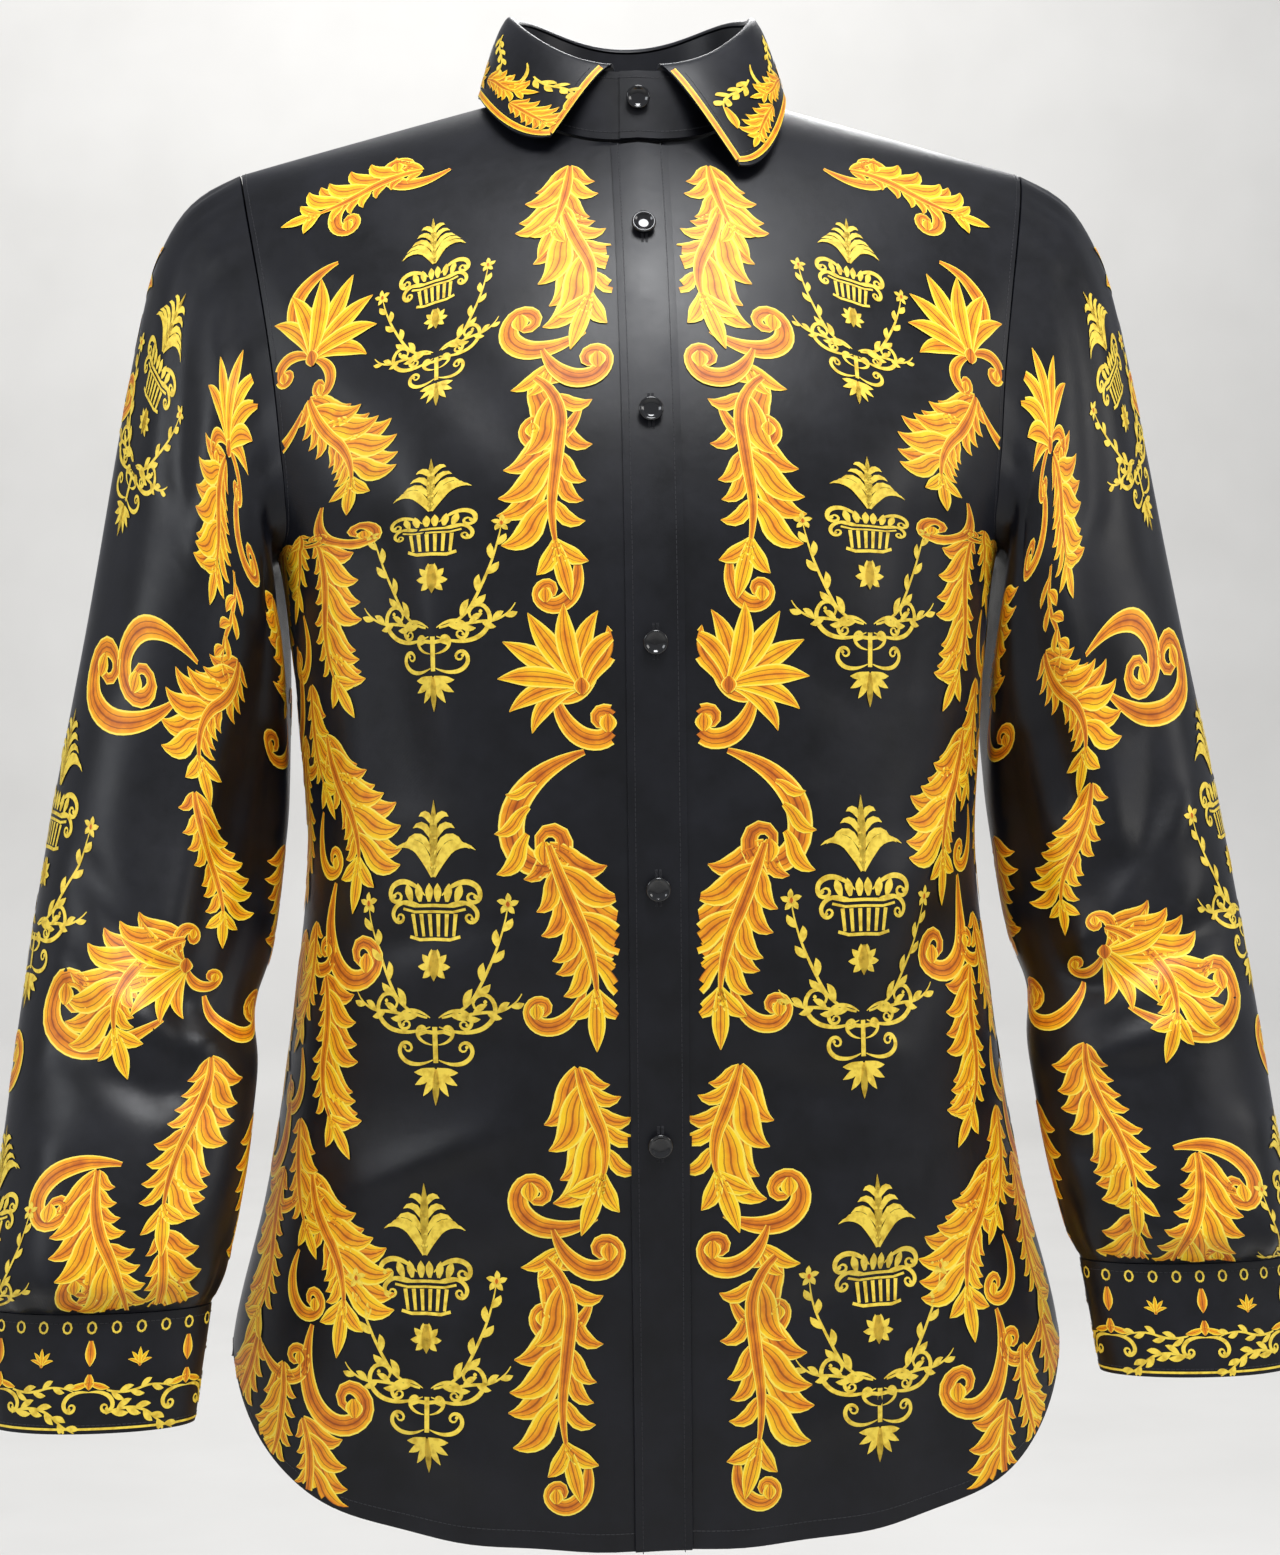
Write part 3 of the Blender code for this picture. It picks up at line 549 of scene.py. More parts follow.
def sleeve_oval(s, turn, side):
    """The plain tube of the left sleeve; side only sets how the forearm hangs."""
    x0, z0 = along(OUTER_LINE, 1 - (1 - s) ** CAP_LEAD)
    x1, z1 = along(INNER_LINE, s)
    deep = through(SLEEVE_DEPTH, s)
    hang = ease((s - 0.25) / 0.75)
    middle = Vector(((x0 + x1) / 2, -FOREARM_FORWARD[side] * hang,
                     (z0 + z1) / 2 - FOREARM_DROP[side] * hang))
    return middle + Vector(((x0 - x1) / 2, 0, (z0 - z1) / 2)) * math.cos(turn) + Vector(
        (0, -deep, 0)) * math.sin(turn)


def sleeve_form(s, turn, side):
    """A point of the left sleeve, which leaves the armhole and becomes a hanging tube."""
    here, away = armhole(turn)
    settle = 1 - ease(s / 0.40)
    start = here - sleeve_oval(0, turn, side)
    rise = 4 * GAP * (1 - ease(s / 0.1))
    rise += SLEEVE_ROUND * ease(s / 0.012) * (1 - ease((s - 0.012) / 0.12))
    crook = ELBOW_CROOK * math.exp(-((s - ELBOW) / 0.05) ** 2) * max(-math.cos(turn), 0)
    return sleeve_oval(s, turn, side) + start * settle + away * rise + Vector((crook, 0, 0))


def sleeve_fold(s, turn, side):
    """How far the folds lift the sleeve: s runs down it, turn is 0 outside and pi inside."""
    lift = 0.0
    for s0, a0, s1, a1, width, height in SLEEVE_FOLDS[side]:
        da, ds = (a1 - a0) * SLEEVE_GIRTH, (s1 - s0) * SLEEVE_LONG
        pa = ((turn - a0 + math.pi) % (2 * math.pi) - math.pi) * SLEEVE_GIRTH
        ps = (s - s0) * SLEEVE_LONG
        share = min(max((pa * da + ps * ds) / (da * da + ds * ds), 0), 1)
        off = math.hypot(pa - da * share, ps - ds * share)
        if off < 3 * width:
            lift += height * math.exp(-(off / width) ** 2)
    lift += 0.0009 * math.sin(17 * turn) * ease((s - 0.90) / 0.06) * (1 - ease((s - 0.985) / 0.015))
    lift += 0.0007 * math.sin(23 * turn) * math.exp(-((s - 0.015) / 0.018) ** 2) * (s > 0.003)
    return lift * ease(s / 0.01) * (1 - ease((s - 0.985) / 0.015))


AROUND = 96
TURNS = np.linspace(math.pi / 2 - math.pi, math.pi / 2 + math.pi, AROUND + 1)  # front in the middle


def tube_centre(points):
    """The middle of each row of a tube, for every point of it."""
    return np.broadcast_to(points.mean(axis=1, keepdims=True), points.shape)


sleeves = {}
for word, side in SIDES:
    shares = np.concatenate([np.linspace(0, 0.06, 9), np.linspace(0.07, 0.93, 84),
                             np.linspace(0.94, 1, 10)])
    plain = np.array([[tuple(sleeve_form(s, a, side)) for a in TURNS] for s in shares])
    plain[:, -1] = plain[:, 0]
    out = outward(plain, tube_centre(plain), tube=True)
    lifts = np.array([[sleeve_fold(s, a, side) for a in TURNS] for s in shares])
    lifts[:, -1] = lifts[:, 0]
    points = plain + out * lifts[:, :, None]
    out = outward(points, tube_centre(points), tube=True)
    mirror = np.array((side, 1.0, 1.0))
    sleeves[side] = (points * mirror, out * mirror)
    belongs(wall(f"sleeve_tube_{word}", points * mirror, out * mirror, WALL, black_satin,
                 tube=True), "cloth", f"sleeve_{word}")

# ------------------------------------------------------------------ cuffs and sleeve plackets
# Barrel cuffs, cut double and fused, lap and button on the outer back of the wrist. Above each
# lap a narrow bound placket covers the slit in the sleeve.

STIFF_WALL = 0.0020  # cuffs, collar stand and collar leaf, which are fused double
CUFF_DEEP = 0.060
CUFF_NARROWS = 0.90
CUFF_LAP = math.radians(26)
CUFF_START = math.radians(-62)
SLIT = (0.790, 0.955)  # shares of the sleeve's length
SLIT_TURN = np.radians((-52, -28))


def wrist(side):
    """Centre, down-arm direction, across and forward half-axes of the cuff's top."""
    top = (sleeve_form(1, 0, side) + sleeve_form(1, math.pi, side)) / 2
    across = (sleeve_form(1, 0, side) - sleeve_form(1, math.pi, side)) / 2
    ahead = (sleeve_form(1, math.pi / 2, side) - sleeve_form(1, 3 * math.pi / 2, side)) / 2
    down = Vector((0.05, -0.14, -1)).normalized()
    return top, down, across, ahead


def cuff_form(side, down_share, turn, out=0.0):
    """A point of the left cuff and the way out of it; side sets which forearm it follows."""
    top, down, across, ahead = wrist(side)
    narrow = 1 + (CUFF_NARROWS - 1) * down_share
    flat = across * math.cos(turn) * narrow + ahead * math.sin(turn)
    grow = (across * math.cos(turn) / across.length_squared
            + ahead * math.sin(turn) / ahead.length_squared).normalized()
    return top + down * (2 * GAP + CUFF_DEEP * down_share) + flat + grow * out, grow


cuffs = {}
for word, side in SIDES:
    mirror = np.array((side, 1.0, 1.0))
    rows = []
    for share in np.linspace(0, 1, 15):
        row = []
        for turn in np.linspace(CUFF_START, CUFF_START + 2 * math.pi + CUFF_LAP, 118):
            over = (STIFF_WALL + 2 * GAP) * ease((turn - CUFF_START - 2 * math.pi + 0.75) / 0.7)
            soft = 0.0004 * math.sin(5 * turn + 2 * share) * math.sin(math.pi * share)
            soft += 0.0004 * math.sin(math.pi * share) ** 0.5
            row.append(tuple(cuff_form(side, share, turn, over + soft)[0]))
        rows.append(row)
    points = np.array(rows)
    out = outward(points, tube_centre(points))
    cuffs[side] = (points * mirror, out * mirror)
    belongs(wall(f"cuff_band_{word}", points * mirror, out * mirror, STIFF_WALL, fused_satin),
            "fused_cloth", f"cuff_{word}")
    points = np.array([[tuple(sleeve_form(s, a, side)) for a in np.linspace(*SLIT_TURN, 9)]
                       for s in np.linspace(*SLIT, 40)])
    out = outward(points, (sleeves[side][0][80:81] * mirror).mean(axis=1))
    points = points + out * (LAP + GAP)
    strip = wall(f"bound_placket_{word}", points * mirror, out * mirror, WALL, black_satin)
    belongs(strip, "cloth", f"sleeve_placket_{word}")

# ------------------------------------------------------------------ collar
# A two-piece collar: the stand is sewn round the neck and buttons in front, and the leaf is
# sewn to its top, rolls over it and lies on the shoulders with two points in front.

STAND_DEEP = (0.0395, 0.0440)
STAND_FOOT = 0.0020  # clear of the neck edge of the wall below it
STAND_LEAN = 0.004
STAND_ENDS = (math.radians(-8), math.radians(373))  # the left end laps over the right one
LEAF_ENDS = (math.radians(9), math.radians(349.5))
LEAF_TIP = {1: (0.0530, 0.285), -1: (0.0470, 0.225)}  # across, row
LEAF_SIDE = 0.084
LEAF_BACK_ROW = 0.470


def neck_ring(turn):
    """Point of the neck seam, way out and height of the stand: 0 is the front, pi the back."""
    turn %= 2 * math.pi
    side = 1 if turn <= math.pi else -1
    a = turn if turn <= math.pi else 2 * math.pi - turn
    face = -1 if a < math.pi / 2 else 1
    t = NECK_ROW[face] * abs(math.cos(a))
    point = body_form(face, t, angle_at(face, t, NECK_HALF * math.sin(a)), side)
    out = Vector((math.sin(turn) / NECK_HALF, -math.cos(turn) / 0.057, 0)).normalized()
    tall = STAND_DEEP[0] + (STAND_DEEP[1] - STAND_DEEP[0]) * ease(a / math.radians(60))
    return point, out, tall


def stand_lap(turn):
    """How far the left end of the stand lies out over the right one."""
    return (STIFF_WALL + 2 * GAP) * (1 - ease((turn - 0.35) / 0.5))


def stand_form(turn, share, lap=0.0):
    """A point of the stand, at a share of its height, and the way out of it."""
    point, out, tall = neck_ring(turn)
    rise = STAND_FOOT + (tall - STAND_FOOT) * share
    return point + Vector((0, 0, rise)) + out * (lap - STAND_LEAN * share), out


def way_up(face, t, angle, side):
    """The way out of the body form at one place."""
    down = body_form(face, t + 0.004, angle, side) - body_form(face, t, angle, side)
    across = body_form(face, t, angle + 0.03, side) - body_form(face, t, max(angle - 0.03, 0), side)
    out = (across.cross(down) * face * side).normalized()
    return out if out.z > 0 else -out


def leaf_edge(turn):
    """The outer edge of the turned-down leaf, just above the body that it lies over."""
    turn += 1e-6
    side = 1 if turn <= math.pi else -1
    a = turn if turn <= math.pi else 2 * math.pi - turn
    tip_x, tip_row = LEAF_TIP[side]
    if a < math.pi / 2:
        first = LEAF_ENDS[0] if side > 0 else 2 * math.pi - LEAF_ENDS[1]
        f = (a - first) / (math.pi / 2 - first)
        x = tip_x + (LEAF_SIDE - tip_x) * math.sin(f * math.pi / 2)
        face, t, lift = -1, tip_row * math.cos(f * math.pi / 2), 0.008 - 0.002 * f
    else:
        x, face, t = LEAF_SIDE * math.sin(a), 1, LEAF_BACK_ROW * -math.cos(a)
        lift = 0.006 + 0.006 * -math.cos(a)
    angle = angle_at(face, t, x)
    return body_form(face, t, angle, side) + way_up(face, t, angle, side) * lift


def leaf_form(turn, f):
    """The leaf leaves the top of the stand, rolls over and comes down to its edge."""
    start, out = stand_form(turn, 1, stand_lap(turn))
    start = start + Vector((0, 0, 2.5 * GAP))
    end = leaf_edge(turn)
    leave = Vector((0, 0, 0.034)) + out * 0.014
    arrive = (end - start) * 1.1 + Vector((0, 0, -0.010))
    return (start * (2 * f**3 - 3 * f**2 + 1) + leave * (f**3 - 2 * f**2 + f)
            + end * (3 * f**2 - 2 * f**3) + arrive * (f**3 - f**2))


stand_points = np.array([[tuple(stand_form(turn, share, stand_lap(turn))[0])
                          for turn in np.linspace(*STAND_ENDS, 150)]
                         for share in np.linspace(0, 1, 11)])
stand_out = outward(stand_points, body_centre(stand_points))
belongs(wall("neck_stand", stand_points, stand_out, STIFF_WALL, fused_satin), "fused_cloth",
        "collar_stand")

leaf_shares = np.concatenate([np.linspace(0, 0.3, 16), np.linspace(0.34, 1, 16)])
leaf_points = np.array([[tuple(leaf_form(a, f)) for a in np.linspace(*LEAF_ENDS, 150)]
                        for f in leaf_shares])
leaf_out = outward(leaf_points, body_centre(leaf_points))
bulge = np.sin(np.pi * np.clip((leaf_shares - 0.3) / 0.7, 0, 1)) * 0.0008
leaf_points = leaf_points + leaf_out * bulge[:, None, None]
belongs(wall("turned_leaf", leaf_points, leaf_out, STIFF_WALL, fused_satin), "fused_cloth",
        "collar_leaf")

# ------------------------------------------------------------------ printed pattern
# The print is gold on black: baroque acanthus scrolls in yellow to orange with dark veins, and
# urns with flowers in lemon line work. Each figure is drawn flat, in mm across and down the
# cut panel, as tapered strokes of a pen, and lies as a film of ink on the cloth.

INK_LIFT = 0.00035  # how far the ink stands off the cloth, so that it covers it cleanly
LAYER_LIFT = 0.00010  # and each further layer of ink off the one below it
STEP = 2.0  # mm between the places where a panel's form is read
EDGE_WIDE = 0.0034  # the gold edge of the collar leaf


def gold_ink():
    """Yellow tips, orange hearts, thin brown veins and a pale outline, by the stroke's own map."""
    material, nodes, links, shader = shader_tree("gold ink")
    place = nodes.new("ShaderNodeUVMap")
    place.uv_map = "stroke"
    parts = nodes.new("ShaderNodeSeparateXYZ")
    links.new(place.outputs["UV"], parts.inputs["Vector"])
    tone = nodes.new("ShaderNodeAttribute")
    tone.attribute_name = "tone"

    def maths(kind, first, second, third=None):
        made = nodes.new("ShaderNodeMath")
        made.operation = kind
        for socket, value in zip(made.inputs, (first, second, third)):
            if isinstance(value, (int, float)):
                socket.default_value = value
            elif value is not None:
                links.new(value, socket)
        return made.outputs["Value"]

    off = maths("ABSOLUTE", maths("MULTIPLY_ADD", parts.outputs["Y"], 2.0, -1.0), 0)
    mixed = maths("ADD", maths("MULTIPLY", tone.outputs["Fac"], 0.55),
                  maths("ADD", maths("MULTIPLY", off, 0.50),
                        maths("MULTIPLY_ADD", noise(nodes, links, 120.0, 3.0), 0.6, -0.40)))
    body = ramp(nodes, links, mixed, (0.05, (0.50, 0.11, 0.004)), (0.28, (0.80, 0.25, 0.006)),
                (0.50, (0.95, 0.45, 0.008)), (0.72, (1.0, 0.66, 0.012)))
    veins = maths("MAXIMUM", maths("LESS_THAN", off, 0.07),
                  maths("LESS_THAN", maths("ABSOLUTE", maths("SUBTRACT", off, 0.46), 0), 0.045))
    edge = maths("GREATER_THAN", off, 0.84)
    dark, light_edge = nodes.new("ShaderNodeMix"), nodes.new("ShaderNodeMix")
    for mix, factor, under, over in ((dark, maths("MULTIPLY", veins, 0.62), body,
                                      (0.16, 0.035, 0.004, 1)),
                                     (light_edge, edge, dark.outputs[2], (1.0, 0.78, 0.10, 1))):
        mix.data_type = "RGBA"
        links.new(factor, mix.inputs[0])
        links.new(under, mix.inputs[6])
        mix.inputs[7].default_value = over
    links.new(light_edge.outputs[2], shader.inputs["Base Color"])
    shader.inputs["Roughness"].default_value = 0.46
    shader.inputs["Specular IOR Level"].default_value = 0.4
    weave(nodes, links, shader)
    return material


def lemon_ink():
    """The plain line work: lemon yellow, thinner in places where the press left it light."""
    material, nodes, links, shader = shader_tree("lemon ink")
    links.new(ramp(nodes, links, noise(nodes, links, 260.0, 4.0), (0.30, (0.62, 0.40, 0.02)),
                   (0.55, (0.92, 0.68, 0.07))), shader.inputs["Base Color"])
    shader.inputs["Roughness"].default_value = 0.48
    weave(nodes, links, shader)
    return material


GOLD, LEMON = 0, 1
inks = (gold_ink(), lemon_ink())


def bend(x, y, heading, length, turns, steps=14):
    """A curve from a place: heading in degrees, 0 down the panel and 90 away from its centre.

    turns are how far it turns in each equal part of its length, so a volute is a growing row.
    """
    turns = turns if isinstance(turns, tuple) else (turns,)
    points = [(x, y)]
    for i in range(steps):
        f = (i + 0.5) / steps
        k = min(int(f * len(turns)), len(turns) - 1)
        heading += turns[k] * len(turns) / steps
        x += length / steps * math.sin(math.radians(heading))
        y += length / steps * math.cos(math.radians(heading))
        points.append((x, y))
    return np.array(points), heading


def swell(steps, wide, start, peak, end):
    """Widths along a stroke, from start to its widest at peak and on to end, as shares."""
    f = np.linspace(0, 1, steps + 1)
    up = start + (1 - start) * np.sin(np.clip(f / peak, 0, 1) * math.pi / 2)
    down = end + (1 - end) * np.cos(np.clip((f - peak) / (1 - peak), 0, 1) * math.pi / 2)
    return wide * np.minimum(up, down)


class Sheet:
    """The strokes of one panel, drawn flat."""

    def __init__(self):
        self.strokes = []

    def stroke(self, points, widths, ink=GOLD, tone=0.5, layer=0):
        """A line with a width at each point; higher layers lie on lower ones."""
        self.strokes.append((np.asarray(points, float), np.asarray(widths, float), ink, tone, layer))

    def blade(self, x, y, heading, length, turn, wide, tone=0.6, layer=1, ink=GOLD):
        """One leaf lobe, narrow at its root, full and then pointed."""
        steps = max(6, min(12, int(length / 3)))
        points, _ = bend(x, y, heading, length, turn, steps)
        self.stroke(points, swell(steps, wide, 0.35, 0.55, 0.04), ink, tone, layer)

    def scroll(self, x, y, heading, length, hand, wide, ink=GOLD, tone=0.35, layer=0, turn=470):
        """A stem that winds into a volute with a round eye; hand is 1 or -1."""
        grow = tuple(hand * turn * w / 30 for w in (1.0, 1.6, 2.8, 4.6, 7.5, 12.5))
        points, _ = bend(x, y, heading, length, grow, 30)
        self.stroke(points, swell(30, wide, 0.22, 0.42, 0.30), ink, tone, layer)
        self.dot(*points[-1], wide * 0.42, ink, tone + 0.35, layer + 1)
        return points

    def dot(self, x, y, radius, ink=GOLD, tone=0.8, layer=2):
        """A round spot."""
        across = np.array([(x, y - radius + 2 * radius * i / 6) for i in range(7)])
        self.stroke(across, 2 * radius * np.sin(np.linspace(0.25, math.pi - 0.25, 7)), ink, tone,
                    layer)

    def acanthus(self, x, y, heading, length, turn, size, lobes=5, curl=1, both=0.55, tone=0.45):
        """A long leaf: its broad lobes leave the rib, droop along it and flick out at their tips.

        curl is the side of the long lobes; both is how long the other side's are beside them.
        """
        steps = 20
        points, last = bend(x, y, heading, length, turn, steps)
        self.stroke(points, swell(steps, size * 0.22, 0.5, 0.35, 0.12), GOLD, tone - 0.10, 2)
        for side, share in ((-curl, both), (curl, 1.0)):
            for i in reversed(range(lobes if share else 0)):
                f = 0.03 + 0.84 * i / lobes
                k = int(f * steps)
                run = points[k + 1] - points[k]
                way = math.degrees(math.atan2(run[0], run[1])) + side * 56
                reach = size * share * (0.80 + 0.40 * math.sin(math.pi * (0.15 + 0.75 * f)))
                self.blade(*points[k], way, reach, (-side * 36, side * 66), reach * 0.37,
                           tone + 0.25 * f + 0.10 * (i % 2), i % 2)
        for flick in (-30, 30, 0):
            self.blade(*points[-3], last + flick * 0.5, size * (0.95 - abs(flick) / 90), flick * 1.6,
                       size * 0.27, tone + 0.35, 3)
        return points

    def fan(self, x, y, heading, size, lobes=7, spread=110, tone=0.5, curls=True):
        """A palmette: lobes that spring from a root, swell and flick away from the middle."""
        for i in sorted(range(lobes), key=lambda k: -abs(k - (lobes - 1) / 2)):
            f = i / (lobes - 1) - 0.5
            reach = size * (1 - 0.50 * abs(f) ** 1.2)
            self.blade(x, y, heading + 0.62 * spread * f, reach, spread * 0.95 * f, reach * 0.25,
                       tone + 0.35 * (1 - abs(f)), 1 + (i % 3))
        if curls:
            for hand in (1, -1):
                self.scroll(x, y, heading + hand * (spread * 0.4 + 30), size * 1.0, hand, size * 0.15,
                            tone=tone - 0.1, layer=0)
        self.dot(x, y, size * 0.09, tone=0.2, layer=4)

    def flower(self, x, y, size, petals=6, ink=GOLD, tone=0.6):
        """Petals round a dark eye."""
        for i in range(petals):
            self.blade(x, y, 360 * i / petals + 20, size, 26, size * 0.52, tone + 0.1 * (i % 2), 1, ink)
        self.dot(x, y, size * 0.24, GOLD, 0.15, 3)

    def vine(self, x, y, heading, length, turns, wide, leaves=6, ink=LEMON, size=9.0):
        """A thin stem with a small leaf at each step, on one side and then the other."""
        points, _ = bend(x, y, heading, length, turns, 26)
        self.stroke(points, swell(26, wide, 0.7, 0.3, 0.3), ink, 0.4, 0)
        for i in range(leaves):
            k = int(2 + 23 * i / leaves)
            run = points[k + 1] - points[k]
            side = 1 if i % 2 else -1
            self.blade(*points[k], math.degrees(math.atan2(run[0], run[1])) + side * 48,
                       size * (1 - 0.3 * i / leaves), -side * 40, size * 0.36, 0.6, 1, ink)
        return points

    def mirrored(self, centre, draw):
        """Draws a figure on both sides of an upright line."""
        half = Sheet()
        draw(half)
        for points, widths, ink, tone, layer in half.strokes:
            for hand in (1, -1):
                placed = points * (hand, 1) + (centre, 0)
                self.stroke(placed, widths, ink, tone, layer)

    def urn(self, centre, top, tall, ink=LEMON):
        """A flower urn in line work, with a palmette, horns, sprays and a hanging pendant."""
        u = tall / 100.0  # the figure is drawn 100 high, from 0 at its top

        def y(v):
            return top + v * u

        def half(s):
            line = 1.35 * u**0.5
            s.blade(0, y(25), 180, 25 * u, 0, 3.0 * u, 0.7, 2, ink)
            for at, long in ((25, 20), (22, 17), (18, 13.5), (13, 10), (8, 7)):
                s.blade(0.4 * u, y(at), 158, long * u, (-16, -84), 2.4 * u, 0.7, 2, ink)
            s.scroll(3 * u, y(31), 140, 27 * u, -1, line * 1.7, ink)
            s.scroll(5 * u, y(34), 112, 22 * u, -1, line * 1.4, ink)
            for i in range(3):
                s.blade((1.5 + 3.2 * i) * u, y(33), 180 - 9 * i, 6 * u, 0, 2.8 * u, 0.8, 1, ink)
                s.stroke([((1.5 + 3.0 * i) * u, y(37)), ((1.3 + 2.7 * i) * u, y(44.5))],
                         [line * 1.3, line], ink)
            for at, wide, long in ((34.2, 1.0, 11.5), (36.2, 0.8, 11), (45.4, 1.0, 9)):
                s.stroke([(0, y(at)), (long * 0.6 * u, y(at + 0.2)), (long * u, y(at - 0.8))],
                         [line * wide] * 3, ink)
            s.blade(0, y(49), 0, 10 * u, 0, 3.6 * u, 0.8, 2, ink)
            for way in (30, 75, 120, 160):
                s.blade(0.3 * u, y(54), way, 5.4 * u, 20, 2.4 * u, 0.8, 1, ink)
            stem = s.vine(2.5 * u, y(71), 96, 46 * u, (52, 8, 14), line, 7, ink, 7.0 * u)
            s.flower(*stem[-1], 3.8 * u, 5, ink)
            s.scroll(1.5 * u, y(71), 128, 23 * u, -1, line * 1.3, ink)
            s.scroll(1.5 * u, y(74), 66, 42 * u, 1, line * 1.5, ink)
            s.vine(8 * u, y(71), 110, 24 * u, (-20, 60), line, 5, ink, 6.0 * u)
            s.stroke([(0, y(76)), (3 * u, y(75.6)), (6 * u, y(76.6))], [line * 1.2] * 3, ink)
            s.stroke([(0, y(74)), (0.3 * u, y(86))], [line * 1.6, line], ink)
            s.scroll(1 * u, y(85), 62, 25 * u, 1, line * 1.4, ink)
            s.scroll(1 * u, y(80), 96, 15 * u, 1, line * 1.1, ink)
            for way, long in ((10, 10), (38, 9), (66, 7.5)):
                s.blade(0.3 * u, y(88), way, long * u, 26, 2.6 * u, 0.8, 1, ink)
            s.blade(0, y(88), 0, 12 * u, 0, 2.4 * u, 0.8, 2, ink)

        self.mirrored(centre, half)


def border_first(s, y):
    """The first half of the border's repeat, 236 mm: leaf, two volutes, hook, drooping leaf."""
    s.acanthus(42, y + 22, -14, 64, (-10, 44), 36, 5, 1, 0.55, 0.5)
    s.scroll(33, y + 100, 60, 88, 1, 11.5, tone=0.34)
    s.scroll(56, y + 106, -16, 74, -1, 11.0, tone=0.28, layer=4)
    for way, long in ((70, 26), (40, 22)):
        s.blade(50, y + 116, way, long, (-20, 40), long * 0.32, 0.75, 1)
    s.acanthus(60, y + 122, -54, 112, (58, 0, -20), 34, 6, 1, 0.6, 0.38)
    s.scroll(40, y + 226, -14, 62, 1, 9.0, tone=0.36)
    s.scroll(36, y + 142, 16, 66, 1, 9.5, tone=0.3)


def border_second(s, y):
    """The second half, 234 mm: a fan with a hook, a volute, a great S and a drooping leaf."""
    s.fan(38, y + 58, 132, 48, 8, 150, 0.42, False)
    s.blade(35, y + 58, -166, 34, (30, -50), 11, 0.5, 1)
    s.scroll(30, y + 42, 6, 60, 1, 10.0, tone=0.3)
    s.scroll(52, y + 60, -6, 76, -1, 11.0, tone=0.3)
    s.scroll(37, y + 92, 74, 132, -1, 14.0, tone=0.26)
    for x, v, way, long in ((62, 108, 78, 18), (66, 120, 60, 24), (67, 134, 40, 28)):
        s.blade(x, y + v, way, long, (-30, 56), long * 0.34, 0.72, 1)
    s.acanthus(56, y + 140, -18, 88, (-6, 24), 34, 6, -1, 0.7, 0.4)
    s.scroll(38, y + 214, 12, 66, 1, 9.5, tone=0.36)


def side_spray(s, x, y, hand=-1):
    """A tall acanthus spray with volutes, 235 mm, that fills the cloth by the side seam."""
    s.acanthus(x, y, 12 * hand, 78, (26 * hand, -46 * hand), 32, 8, hand, 0.5, 0.45)
    s.scroll(x - 4 * hand, y + 4, -30 * hand, 70, -hand, 8.0, tone=0.4)
    s.scroll(x + 6 * hand, y + 78, -20 * hand, 116, hand, 12.0, tone=0.32)
    s.acanthus(x - 14 * hand, y + 100, 6 * hand, 60, -36 * hand, 24, 6, -hand, 0.5, 0.5)
    s.acanthus(x, y + 128, 20 * hand, 84, (-30 * hand, 44 * hand), 28, 8, hand, 0.45, 0.45)
    s.scroll(x - 22 * hand, y + 168, 26 * hand, 72, -hand, 8.0, tone=0.5)


def side_sprays(s, top, lower):
    """Two rows of sprays by the side seam, the outer one set lower than the inner one."""
    for x, y in ((190, 84), (192, 318), (196, 552)):
        side_spray(s, x, top + y)
    for x, y in ((222, 150), (224, 384), (232, 600)):
        side_spray(s, x, top + y + lower, 1)


def lattice(points, out, middle, reach, allowed):
    """A panel's form read at even steps across and down its cut, with where ink may lie."""
    gaps = np.linalg.norm(np.diff(points, axis=1), axis=2)
    across = np.concatenate([np.zeros((len(points), 1)), np.cumsum(gaps, axis=1)], axis=1)
    across = (across - across[:, middle:middle + 1]) * 1000
    drops = np.linalg.norm(np.diff(points[:, middle], axis=0), axis=1)
    down = np.concatenate([[0], np.cumsum(drops)]) * 1000
    xs = np.arange(reach[0], reach[1] + STEP, STEP)
    ys = np.arange(0, down[-1], STEP)
    full = np.concatenate([points, out, allowed[:, :, None]], axis=2)
    found = np.full((len(ys), len(xs), 7), np.nan)
    for i, y in enumerate(ys):
        k = min(int(np.searchsorted(down, y, "right")) - 1, len(down) - 2)
        f = (y - down[k]) / (down[k + 1] - down[k])
        row_at = across[k] * (1 - f) + across[k + 1] * f
        row = full[k] * (1 - f) + full[k + 1] * f
        for j in range(7):
            found[i, :, j] = np.interp(xs, row_at, row[:, j], left=np.nan, right=np.nan)
    found[:, :, 6] = np.where(np.isnan(found[:, :, 6]), 0, found[:, :, 6])
    return xs[0], found, down


def stroke_maps(mesh, maps, tones):
    """Each vertex's place along and across its stroke, and how light the stroke is."""
    corners = np.zeros(len(mesh.loops), int)
    mesh.loops.foreach_get("vertex_index", corners)
    mesh.uv_layers.new(name="stroke").data.foreach_set("uv", maps[corners].astype(np.float32).ravel())
    mesh.attributes.new("tone", "FLOAT", "POINT").data.foreach_set("value", tones.astype(np.float32))


